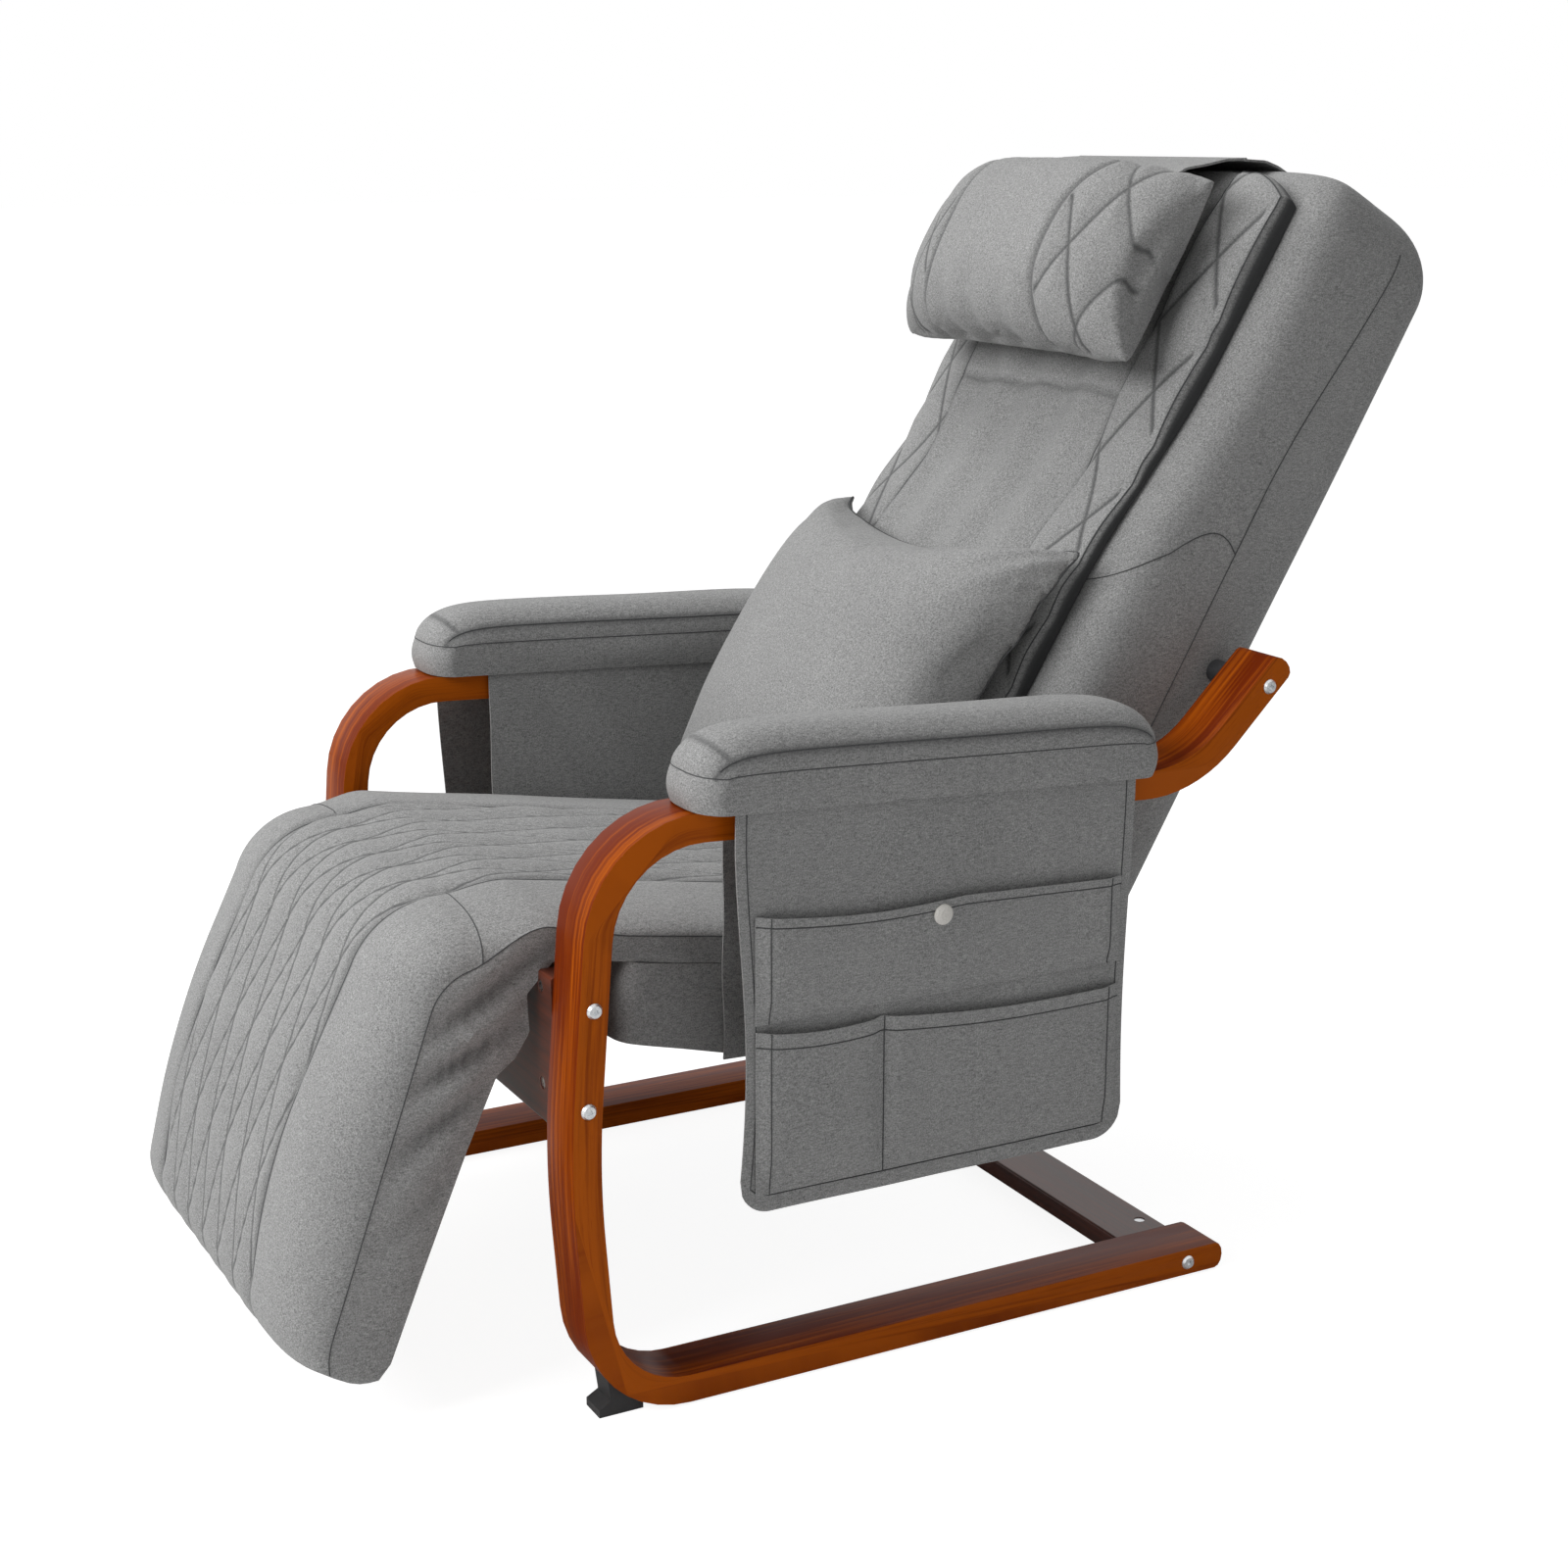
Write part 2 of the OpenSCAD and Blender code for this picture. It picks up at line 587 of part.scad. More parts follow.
module back_brackets() {
    color(c_steel) in_back() both() difference() {
        union() {
            along_x(plate_x - plate_t, plate_t*2) polygon(rounded([[-bracket_w/2, -bracket_h/3],
                [bracket_rear, -bracket_h/2], [bracket_rear, bracket_h/2],
                [-bracket_w/2, bracket_h/3]],
                [bracket_w/4, bracket_w/8, bracket_w/8, bracket_w/4], corner_steps));
            x_rod(plate_x, boss_len, [0, 0], boss_d);
        }
        x_rod(plate_x - plate_t - cut, boss_len + plate_t + 2*cut, [0, 0], pivot_bore);
        translate([tube_x, tube_y, -bracket_h]) cylinder(h = 2*bracket_h, d = tube_d);
    }
}
pin_head_d = 14;
pin_head_t = 3;
module hinge_pins() {
    color(c_zinc) in_back() both() {
        x_rod(rail_x - rail_w/2 - pin_head_t, tube_x + tube_d/2 - rail_x + rail_w/2 + pin_head_t,
            [tube_y, -hinge_reach], hinge_pin_d);
        x_rod(rail_x + rail_w/2 + gap, tube_x - tube_d/2 - rail_x - rail_w/2 - gap,
            [tube_y, -hinge_reach], pin_head_d);
    }
}

// Padded back cover: a sleeve that is closed at its top and open below
section_power = 6;
top_r = 70;
corner_share = 0.6;
front_lows = [-back_down, back_up*0.1, back_up*0.48, back_up*0.8, back_up];
front_shares = [1, 1, 0.86, 0.87, 0.9];
function front_at(a) = back_front_d*lookup(a, [for (i = [0:4]) [front_lows[i], front_shares[i]]]);
function cover_ring(a, in, drop) = let(w = back_w/2 - in - drop*corner_share, f = front_at(a) - in - drop/2,
    r = back_rear_d - in - drop, o = (r - f)/2, h = (r + f)/2)
    [for (k = [0:35]) let(c = cos(k*10), n = sin(k*10)) [w*power(c, 2/section_power),
        o + h*power(n, 2/section_power), a]];
cover_turns = [0, 24, 46, 66, 82];
function cover_rings(in) = let(top = back_up - in, r = top_r - in) concat(
    [for (a = [-back_down, -back_down*0.62, -back_down*0.2, back_up*0.1, back_up*0.28,
        back_up*0.48, back_up*0.8]) cover_ring(a, in, 0)],
    [for (g = cover_turns) cover_ring(top - r*(1 - sin(g)), in, r*(1 - cos(g)))]);
cover_hole_d = 36;
module back_cover() {
    inner = cover_rings(cover_t);
    n = len(inner);
    color(c_cloth) in_back() difference() {
        skin(concat([for (i = [n - 1:-1:0]) inner[i]], cover_rings(0)));
        both() x_rod(back_w/2 - cover_t*2, cover_t*3, [0, 0], cover_hole_d);
    }
}

// Quilted overlay on the back, the head pillow on its flap, and the lumbar cushion
function cover_front(a, x) = let(f = front_at(a), h = (back_rear_d + f)/2)
    (f - back_rear_d)/2 + h*pow(max(0, 1 - pow(abs(x)*2/back_w, section_power)), 1/section_power);
overlay_top_in = 28;
overlay_low_in = 16;
overlay_top = back_up - overlay_top_in;
overlay_bottom = -back_down + overlay_low_in;
overlay_side_share = 0.5;
// Its rows stand closest to the cover's own, with one on each of the cover's bends
overlay_runs = [[overlay_bottom, front_lows[1], 10], [front_lows[1], front_lows[2], 6],
    [front_lows[2], front_lows[3], 4], [front_lows[3], overlay_top, 3]];
function overlay_v(a) = 2*(a - overlay_bottom)/(overlay_top - overlay_bottom) - 1;
overlay_vs = concat([for (r = overlay_runs, i = [0:r[2] - 1])
    overlay_v(r[0] + (r[1] - r[0])*i/r[2])], [1]);
overlay_border = 0.34;
border_quilt = 62;
overlay_at = function (u, v, s) let(w = overlay_w/2*(1 - 0.05*(1 - v)), x = u*w,
    a = overlay_bottom + (overlay_top - overlay_bottom)*(v + 1)/2,
    back = cover_front(a, x) + 2*gap, round = overlay_side_share
    + (1 - overlay_side_share)*plump(u, 5)*plump(v, 10),
    edge = abs(u) > 1 - overlay_border ? 1 : 0,
    quilt = edge*quilt_d*(puff(x/border_quilt, a/border_quilt/1.5) - 0.7))
    [x, -(s > 0 ? max(back + overlay_t/3, front_at(a) + overlay_t*round + quilt) : back), a];
module overlay_pad() {
    color(c_cloth) in_back() soft_form(spread(12), overlay_vs, overlay_at);
}
overlay_front = function (a) front_at(a) + overlay_t;
pillow_drop = 50;
pillow_mid = overlay_top - pillow_h/2 - pillow_drop;
pillow_rear_share = 0.3;
pillow_b = overlay_front(pillow_mid) + pillow_t*pillow_rear_share + quilt_d*2;
pillow_edge = 6;
pillow_at = function (u, v, s) let(fat = plump(u, 3)*plump(v, 2.4),
    ends = abs(u) > 0.5 ? quilt_d*(puff(u*4, v*1.5) - 0.5) : 0,
    t = s > 0 ? pillow_t*(1 - pillow_rear_share)*fat + ends*fat : pillow_t*pillow_rear_share*fat)
    [u*pillow_w/2*(1 - 0.05*(1 - v*v)), -(pillow_b + s*(t + pillow_edge/2)),
        pillow_mid + v*pillow_h/2*(0.92 + 0.08*plump(u, 4))];
module head_pillow() {
    color(c_cloth) in_back() soft_form(spread(14), spread(12), pillow_at);
}
flap_w = 300;
flap_t = 3;
flap_hinge = [-(front_at(back_up) + overlay_t*0.4), back_up - overlay_t/3];
flap_line = path([[-pillow_b, pillow_mid + pillow_h/2 + flap_t*0.6],
    [flap_hinge.x - overlay_t*0.8, overlay_top + flap_t*3], flap_hinge], [overlay_t], corner_steps);
fold_d = 4;
// The flap turns about the corded fold at its rear edge
module pillow_flap() {
    color(c_cloth) in_back() {
        along_x(-flap_w/2, flap_w) polygon(ribbon(flap_line, flap_t/2, flap_t/2));
        x_rod(-flap_w/2, flap_w, flap_hinge, fold_d);
    }
}
tab_line = [flap_hinge + [fold_d/2 + gap, 0], [-front_at(back_up)*0.82, back_up + flap_t*0.75],
    [-front_at(back_up)*0.1, back_up + flap_t*0.6]];
module flap_tab() {
    color(c_cloth) in_back() along_x(-flap_w/2, flap_w) polygon(ribbon(tab_line, flap_t/2, 0));
}
cushion_past = 26;
cushion_mid = -back_down + cushion_l/2 - cushion_past;
cushion_rear_share = 0.16;
cushion_b = overlay_front(0) + cushion_t*cushion_rear_share - gap*2.5;
cushion_lean = 14;
cushion_edge = 8;
draw_in_share = 0.07;
top_dip = 24;
corner_bend = 18;
cushion_at = function (u, v, s) let(fat = pow((1 - pow(abs(u), 2.6))*(1 - pow(abs(v), 2.6)), 0.6),
    t = cushion_t*fat*(s > 0 ? 1 - cushion_rear_share : cushion_rear_share) + cushion_edge/2)
    [u*cushion_w/2*(1 - draw_in_share*(1 - v*v)),
        -(cushion_b + cushion_lean*(1 - v)/2 - corner_bend*pow(u, 6)*(1 + v)/2 + s*t),
        cushion_mid + v*cushion_l/2*(1 - draw_in_share*(1 - u*u))
            - top_dip*(1 - u*u)*(1 + v)/2];
module lumbar_cushion() {
    color(c_cloth) in_back() soft_form(evenly(14), evenly(14), cushion_at);
}

// Kneading mechanism: guide rods, lead screw and a carriage with two kneading discs
rod_y = -20;
bracket_t = 12;
motor_room = 108;
bracket_as = [-hinge_reach + motor_room, back_up*0.65];
bracket_deep = 34.3;
screw_journal_d = 8;
motor_d = 60;
motor_l = 70;
module rod_brackets() {
    color(c_steel) in_back() for (a = bracket_as) difference() {
        translate([-tube_x, rod_y - bracket_deep/2, a - bracket_t/2])
            cube([2*tube_x, tube_y - rod_y + bracket_deep, bracket_t]);
        both() translate([tube_x, tube_y, a - bracket_t]) cylinder(h = 2*bracket_t, d = tube_d);
        for (x = [-rod_gap/2, rod_gap/2]) translate([x, rod_y, a - bracket_t])
            cylinder(h = 2*bracket_t, d = rod_d);
        translate([0, rod_y, a - bracket_t])
            cylinder(h = 2*bracket_t, d = screw_journal_d + 2*run_gap);
    }
}
module carriage_rods() {
    color(c_zinc) in_back() for (x = [-rod_gap/2, rod_gap/2])
        translate([x, rod_y, bracket_as[0] - bracket_t/2])
            cylinder(h = bracket_as[1] - bracket_as[0] + bracket_t, d = rod_d);
}
module lead_screw() {
    lo = bracket_as[0] + bracket_t/2 + gap;
    hi = bracket_as[1] - bracket_t/2 - gap;
    color(c_zinc) in_back() translate([0, rod_y, 0]) {
        translate([0, 0, lo]) cylinder(h = hi - lo, d = screw_d);
        translate([0, 0, lo - bracket_t*2]) cylinder(h = hi - lo + bracket_t*3,
            d = screw_journal_d);
    }
}
module lift_motor() {
    a = bracket_as[0] - bracket_t/2;
    color(c_black) in_back() translate([0, rod_y, a - motor_l]) difference() {
        rotate_extrude() polygon([[0, 0], [motor_d*0.4, 0], [motor_d/2, motor_d*0.1],
            [motor_d/2, motor_l], [0, motor_l]]);
        translate([0, 0, motor_l - bracket_t*2])
            cylinder(h = bracket_t*3, d = screw_journal_d + 2*run_gap);
    }
}
carriage_h = 110;
carriage_rest = 8;
plate_past_rod = 30;
carriage_a = bracket_as[0] + bracket_t/2 + carriage_h/2 + carriage_rest;
carriage_w = rod_gap + 2*plate_past_rod;
bush_w = 24;
bush_h = 28;
bush_deep = 28;
plate_thick = 6;
plate_y = rod_y - bush_deep/2;
box_deep = 24;
box_w = 170;
box_h = 72;
disc_gap = 84;
disc_t = 6;
spindle_d = 8;
spindle_in = 16;
box_front = plate_y - plate_thick - box_deep;
disc_back = box_front - 2*gap;
module carriage_plate() {
    color(c_steel) in_back() translate([0, plate_y, carriage_a]) rotate([90, 0, 0])
        linear_extrude(plate_thick) polygon(rounded([[-carriage_w/2, -carriage_h/2],
            [carriage_w/2, -carriage_h/2], [carriage_w/2, carriage_h/2],
            [-carriage_w/2, carriage_h/2]], [for (i = [0:3]) bush_w/2], corner_steps));
}
module bush(x, a, h, d) {
    translate([x, rod_y, a]) difference() {
        translate([-bush_w/2, -bush_deep/2, -h/2]) cube([bush_w, bush_deep, h]);
        cylinder(h = h + 2*cut, d = d, center = true);
    }
}
module rod_bushes() {
    color(c_nylon) in_back() for (x = [-rod_gap/2, rod_gap/2], k = [-1, 1])
        bush(x, carriage_a + k*(carriage_h - bush_h)/2, bush_h, rod_d + 2*run_gap);
}
module lift_nut() {
    color(c_nylon) in_back() bush(0, carriage_a, bush_h, screw_d + 2*run_gap);
}
module kneading_gearbox() {
    color(c_black) in_back() difference() {
        translate([0, plate_y - plate_thick, carriage_a]) rotate([90, 0, 0])
            linear_extrude(box_deep) polygon(rounded([[-box_w/2, -box_h/2], [box_w/2, -box_h/2],
                [box_w/2, box_h/2], [-box_w/2, box_h/2]],
                [for (i = [0:3]) box_h/3], corner_steps));
        both() translate([disc_gap/2, box_front - cut, carriage_a]) rotate([-90, 0, 0])
            cylinder(h = spindle_in + cut + gap, d = spindle_d + 2*run_gap);
    }
}
module left_disc() {
    color(c_nylon) in_back() translate([disc_gap/2, disc_back, carriage_a]) {
        rotate([90, 0, 0]) cylinder(h = disc_t, d = disc_d);
        rotate([-90, 0, 0]) cylinder(h = spindle_in + 2*gap, d = spindle_d);
    }
}
module right_disc() { on_right() left_disc(); }
ball_r_share = 0.31;
module left_balls() {
    color(c_black) in_back() translate([disc_gap/2, disc_back - disc_t, carriage_a])
        rotate([90, 0, 0]) for (k = [-1, 1]) translate([0, k*disc_d*ball_r_share, 0])
            rotate_extrude() polygon(concat([[0, 0], [ball_d*0.3, 0]],
                [for (g = [-40:13:77]) [ball_d/2*cos(g), ball_d*0.42 + ball_d/2*sin(g)]],
                [[0, ball_d*0.92]]));
}
module right_balls() { on_right() left_balls(); }

// Seat: a welded frame on the crossbar's glides, hinged to the back's lower end
seat_hinge = into(seat_o, seat_slope, hinge_pt);
module in_seat() { centred() leaning(seat_o, seat_slope) children(); }
knee_reach = 83;
knee_drop = 37;
knee = [front_bar_y - knee_reach, front_bar_top - knee_drop];
knee_in_seat = into(seat_o, seat_slope, knee);
seat_to_hinge = 164;
seat_rear = seat_hinge.x - seat_to_hinge;
seat_board_t = 6;
strap_t = 6;
strap_half = 7;
rail_front = -16;
front_cross_y = 84;
rear_cross_in = 30;
seat_cross_ys = [front_cross_y, seat_rear - rear_cross_in];
strap_clear = 3;
strap_foot = 12;
strap_over = 4;
strap_l = 66;
strap_y = front_bar_y - bar_t/2 - strap_half - strap_clear;
strap_line = path([knee_in_seat, into(seat_o, seat_slope, [strap_y, knee.y + strap_foot]),
    into(seat_o, seat_slope, [strap_y, seat_o.y + rail_h/2 + strap_over]),
    [rail_front + strap_l, rail_h/2]], [strap_half, strap_half], corner_steps);
strap_x = rail_x + rail_w/2;
leg_pin_d = 8;
leg_bore = leg_pin_d + 2*run_gap;
module seat_frame() {
    wall = tube_wall;
    color(c_steel) in_seat() difference() {
        union() {
            both() {
                along_x(rail_x - rail_w/2, rail_w) polygon(rounded([[rail_front, 0],
                    [seat_hinge.x + rail_h/2, seat_hinge.y - rail_h/2],
                    [seat_hinge.x + rail_h/2, seat_hinge.y + rail_h/2], [rail_front, rail_h]],
                    [0, rail_h/2 - cut, rail_h/2 - cut, 0], corner_steps));
                along_x(strap_x, strap_t) polygon(ribbon(strap_line, strap_half, strap_half));
            }
            for (y = seat_cross_ys) translate([-rail_x, y, 0]) cube([2*rail_x, rail_h, rail_h]);
        }
        both() x_rod(rail_x - rail_w, 2*rail_w, seat_hinge, hinge_bore);
        both() x_rod(strap_x - cut, strap_t + 2*cut, knee_in_seat, leg_bore);
        both() along_x(rail_x - rail_w/2 + wall, rail_w - 2*wall) polygon([[rail_front - cut, wall],
            [seat_hinge.x - 2*rail_h, wall], [seat_hinge.x - 2*rail_h, rail_h - wall],
            [rail_front - cut, rail_h - wall]]);
    }
}
board_clear = 2.9;
board_front = 4;
module seat_board() {
    w = rim_x - board_clear;
    color(c_board) in_seat() translate([0, 0, rail_h]) linear_extrude(seat_board_t)
        polygon(rounded([[-w, board_front], [w, board_front], [w, seat_rear - cut],
            [-w, seat_rear - cut]], [for (i = [0:3]) board_r], corner_steps));
}
function roll_r(x) = roll_side_r + (roll_mid_r - roll_side_r)*plump(min(1, abs(x)*2/leg_w), 6);
foam_side = 29;
rim_z = 3;
// The rim takes its share of the room between the leg rest's straps and the seat's side
rim_room_share = 0.47;
rim_in = strap_x + 2*strap_t + gap;
rim_x = seat_w/2 - (seat_w/2 - rim_in)*rim_room_share;
rim_mid_share = 0.69;
lip_a = 89;
lip_rise_l = 110;
quilt_w = 2*quilt_half_w/quilt_count;
quilt_l = 92;
function quilted(x, along) = abs(x) < quilt_half_w + cut
    ? quilt_d*(puff(x/quilt_w, along/quilt_l) - 0.5) : 0;
seat_top = rail_h + seat_board_t + seat_foam_t;
seat_n = round((seat_rear - knee_in_seat.x)/quilt_l*2);
// Stations over the bolsters, the same on the seat's lip as on the roll under it
leg_end = 14;
bolster_xs = [leg_w/2 - 4.6*leg_end, leg_w/2 - 2.6*leg_end, leg_w/2 - leg_end - cut];
seat_edge = concat([for (x = bolster_xs) if (x < rim_x - 1.5*cut) x], [rim_x - cut, rim_x,
    rim_x + (seat_w/2 - rim_x)*rim_mid_share, seat_w/2]);
seat_xs = concat([for (i = [len(seat_edge) - 1:-1:0]) -seat_edge[i]],
    [for (k = [-quilt_count:quilt_count]) quilt_half_w*k/quilt_count], seat_edge);
seat_us = [for (x = seat_xs) x*2/seat_w];
function lip_y(x) = knee_in_seat.x - cos(lip_a)*(roll_r(x) + gap);
function lip_z(x) = knee_in_seat.y + sin(lip_a)*(roll_r(x) + gap);
function over_roll(x, y) = knee_in_seat.y + sqrt(max(0, pow(roll_r(x) + 2*gap, 2)
    - pow(y - knee_in_seat.x, 2)));
seat_at = function (u, v, s) let(x = u*seat_w/2, y = lip_y(x) + (seat_rear - lip_y(x))*v,
    high = foam_side + (seat_top - foam_side)*plump(u, 5),
    t = min(1, (y - lip_y(x))/lip_rise_l),
    top = lip_z(x) + (high - lip_z(x))*sin(90*t) + sin(90*t)*quilted(x, y) + lip_t)
    [x, y, max(top, over_roll(x, y) + lip_t)];
lip_t = 3;
seat_base = function (u) let(x = u*seat_w/2, y0 = lip_y(x), z0 = lip_z(x),
    rim = abs(x) > rim_x - cut/2,
    low = rim ? rim_z : rail_h,
    ramp = function (y) max(over_roll(x, y), z0 < low
        ? z0 + (low - z0)*min(1, (y - y0)/lip_ramp) : low))
    concat([[x, seat_rear, rim ? rim_z : rail_h + seat_board_t],
        [x, board_front - gap, rim ? rim_z : rail_h + seat_board_t],
        [x, board_front - 2*gap, low]],
        [for (t = [1:-0.25:0]) [x, y0 + lip_ramp*t, ramp(y0 + lip_ramp*t)]]);
lip_ramp = 40;
module seat_cushion() {
    color(c_cloth) in_seat()
        domed_form(seat_us, [for (i = [0:seat_n]) i/seat_n], seat_at, seat_base);
}
skirt_t = 8;
skirt_front = 74;
skirt_drop_share = 0.102;
skirt_lap = 10;
skirt_low = function (y) skirt_lap - skirt_h - (y - skirt_front)*skirt_drop_share;
module seat_skirt() {
    w = seat_w/2;
    color(c_cloth) in_seat() difference() {
        along_x(-w, 2*w) polygon([[skirt_front, skirt_low(skirt_front)],
            [seat_rear, skirt_low(seat_rear)], [seat_rear, rim_z], [skirt_front, rim_z]]);
        along_x(-w + skirt_t, 2*(w - skirt_t)) polygon([[skirt_front + skirt_t, -2*skirt_h],
            [seat_rear - skirt_t, -2*skirt_h], [seat_rear - skirt_t, skirt_h],
            [skirt_front + skirt_t, skirt_h]]);
        translate([-w + skirt_t, skirt_front - cut, -2*gap])
            cube([2*(w - skirt_t), seat_rear - skirt_front + 2*cut, skirt_h]);
    }
}
dust_t = 2;
module dust_cover() {
    y0 = skirt_front + skirt_t;
    y1 = seat_rear - skirt_t;
    color(c_black) in_seat() along_x(-seat_w/2 + skirt_t, seat_w - 2*skirt_t)
        polygon([[y0, skirt_low(y0)], [y1, skirt_low(y1)], [y1, skirt_low(y1) + dust_t],
            [y0, skirt_low(y0) + dust_t]]);
}
ctrl = [220, 140, 62];
ctrl_y = 180;
module control_box() {
    color(c_black) in_seat() translate([0, ctrl_y, rail_h - ctrl.z]) linear_extrude(ctrl.z)
        polygon(rounded([[-ctrl.x/2, 0], [ctrl.x/2, 0], [ctrl.x/2, ctrl.y], [-ctrl.x/2, ctrl.y]],
            [for (i = [0:3]) board_r/2], corner_steps));
}
module leg_hinge_pins() {
    color(c_zinc) in_seat() both() {
        x_rod(strap_x - pin_head_t, 2*strap_t + gap + pin_head_t + cut, knee_in_seat, leg_pin_d);
        x_rod(strap_x - pin_head_t, pin_head_t, knee_in_seat, pin_head_d);
    }
}

// Leg rest: a tray of foam on a board, its rolled top turning about the hinge
module in_leg() { centred() leaning(knee, leg_lean) children(); }
leg_tube = 14;
leg_board_t = 7;
board_y = 6;
leg_floor = 40;
leg_strap_x = strap_x + strap_t + gap;
leg_strap_half = leg_tube/2;
leg_tube_y = board_y + leg_board_t + leg_tube/2;
leg_strap = path([[0, 0], [leg_tube_y, -leg_floor*0.75], [leg_tube_y, -leg_floor*2.5]],
    [leg_tube], corner_steps);
module leg_frame() {
    color(c_steel) in_leg() difference() {
        union() {
            both() along_x(leg_strap_x, strap_t)
                polygon(ribbon(leg_strap, leg_strap_half, leg_strap_half));
            both() translate([leg_strap_x + strap_t - leg_tube, leg_tube_y - leg_tube/2,
                -leg_l + leg_end]) cube([leg_tube, leg_tube, leg_l - leg_end - leg_floor*1.5]);
            for (a = [leg_floor*2.5, leg_l - leg_end]) translate([-leg_strap_x,
                leg_tube_y - leg_tube/2, -a]) cube([2*leg_strap_x, leg_tube, leg_tube]);
        }
        both() x_rod(leg_strap_x - cut, strap_t + 2*cut, [0, 0], leg_bore);
    }
}
module leg_board() {
    w = leg_w/2 - leg_end - cut;
    color(c_board) in_leg() translate([0, board_y + leg_board_t, 0]) rotate([90, 0, 0])
        linear_extrude(leg_board_t) polygon(rounded([[-w, -leg_l + leg_end], [w, -leg_l + leg_end],
            [w, -leg_floor], [-w, -leg_floor]], [for (i = [0:3]) leg_end], corner_steps));
}
lip_in_leg = lip_a + seat_slope - leg_lean;
roll_foam = 20;
leg_bulge = 18;
wing_r = 66;
rear_top = 47;
rear_low = 27;
leg_rows = 8;
function leg_front(x, a) = let(t = a/leg_l, p = plump(abs(x)*2/leg_w, 6),
    low = t > 0.9 ? sqrt(max(0, 1 - pow((t - 0.9)/0.13, 2))) : 1)
    (roll_r(x) + p*leg_bulge*sin(180*min(1, t)))*(0.4 + 0.6*low) + p*quilted(x, a + quilt_l/2);
function leg_rear(a) = rear_top + (rear_low - rear_top)*a/leg_l;
function polar(r, a) = [-r*cos(a), r*sin(a)];
// The leg rest's outline at x, from the roll's rear lip round the front and back up behind
function leg_loop(x) = let(r = roll_r(x), wing = abs(x) > leg_w/2 - leg_end + cut/2,
    rin = wing ? r*0.5 : r - roll_foam, deep = wing) concat(
    [for (k = [0:4]) polar(r, lip_in_leg*(1 - k/5))],
    [for (k = [0:leg_rows*2]) let(a = leg_l*k/(leg_rows*2)) [-leg_front(x, a), -a]],
    [[rear_low, -leg_l], [deep ? rear_low : board_y + leg_board_t, -leg_l + leg_end - gap],
        [deep ? leg_rear(leg_l*0.7) : board_y, -leg_l + (deep ? leg_l*0.3 : leg_end - gap)],
        [deep ? leg_rear(leg_l*0.35) : board_y, -leg_l*0.35],
        [deep ? rear_top : board_y, deep ? -wing_r*0.7 : -leg_floor]],
    [deep ? polar(wing_r, 203) : [board_y - cut, -leg_floor], deep ? polar(wing_r, 180)
        : [-rin*0.5, -leg_floor], deep ? polar(wing_r*0.95, 146) : [-rin, -leg_floor]],
    [for (k = [0:3]) deep ? polar(rin, 130 + (lip_in_leg - 130)*k/3)
        : polar(rin, lip_in_leg*k/3)]);
leg_xs = let(w = leg_w/2, q = quilt_half_w) concat([-w, -w + leg_end, -bolster_xs[2],
    -bolster_xs[1], -bolster_xs[0]], [for (k = [-quilt_count:quilt_count]) q*k/quilt_count],
    bolster_xs, [w - leg_end, w]);
module leg_pad() {
    color(c_cloth) in_leg() x_loft(leg_xs, [for (x = leg_xs) leg_loop(x)]);
}

left_side_frame();
right_side_frame();
front_crossbar();
rear_crossbar();
frame_bolts();
barrel_nuts();
front_feet();
rear_pads();
seat_glides();
left_arm_board();
right_arm_board();
arm_screws();
left_arm_pad();
right_arm_pad();
left_outer_panel();
right_outer_panel();
left_upper_pocket();
left_lower_pocket();
right_upper_pocket();
right_lower_pocket();
snap_button();
left_inner_panel();
right_inner_panel();
pivot_bolts();
pivot_washers();
pivot_nuts();
back_frame();
back_brackets();
back_cover();
overlay_pad();
flap_tab();
lumbar_cushion();
carriage_rods();
rod_brackets();
lift_motor();
hinge_pins();
head_pillow();
pillow_flap();
lead_screw();
carriage_plate();
rod_bushes();
lift_nut();
kneading_gearbox();
left_disc();
left_balls();
right_disc();
right_balls();
seat_frame();
seat_board();
seat_cushion();
seat_skirt();
dust_cover();
control_box();
leg_hinge_pins();
leg_frame();
leg_board();
leg_pad();
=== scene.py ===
import json
import math

import bmesh
import bpy
import numpy as np
from bpy.props import FloatProperty, FloatVectorProperty, PointerProperty
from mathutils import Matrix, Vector


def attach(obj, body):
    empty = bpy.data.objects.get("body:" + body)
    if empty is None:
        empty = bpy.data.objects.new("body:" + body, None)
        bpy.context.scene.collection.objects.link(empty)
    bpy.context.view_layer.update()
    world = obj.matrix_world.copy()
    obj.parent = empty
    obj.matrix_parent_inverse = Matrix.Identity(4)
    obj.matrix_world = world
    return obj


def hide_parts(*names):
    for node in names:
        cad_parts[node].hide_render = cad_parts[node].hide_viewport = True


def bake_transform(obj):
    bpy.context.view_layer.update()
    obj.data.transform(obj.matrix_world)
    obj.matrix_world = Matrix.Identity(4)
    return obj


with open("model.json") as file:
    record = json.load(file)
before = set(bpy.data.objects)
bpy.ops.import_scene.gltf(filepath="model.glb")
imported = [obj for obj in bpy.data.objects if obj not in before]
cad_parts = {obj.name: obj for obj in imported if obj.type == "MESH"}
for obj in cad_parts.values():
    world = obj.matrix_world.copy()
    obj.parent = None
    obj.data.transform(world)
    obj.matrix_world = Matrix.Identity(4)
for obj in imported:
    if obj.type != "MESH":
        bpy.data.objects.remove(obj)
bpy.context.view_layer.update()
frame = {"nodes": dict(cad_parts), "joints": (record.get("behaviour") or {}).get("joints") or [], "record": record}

bl_info = {
    "name": "Reflexology chair",
    "version": (1, 0, 0),
    "blender": (4, 5, 0),
    "location": "View3D > Sidebar > Chair",
    "description": "Upholstery, wood finish and stage of a bentwood massage lounge chair",
    "category": "Object",
}

# ------------------------------------------------------------------ sizes and colours

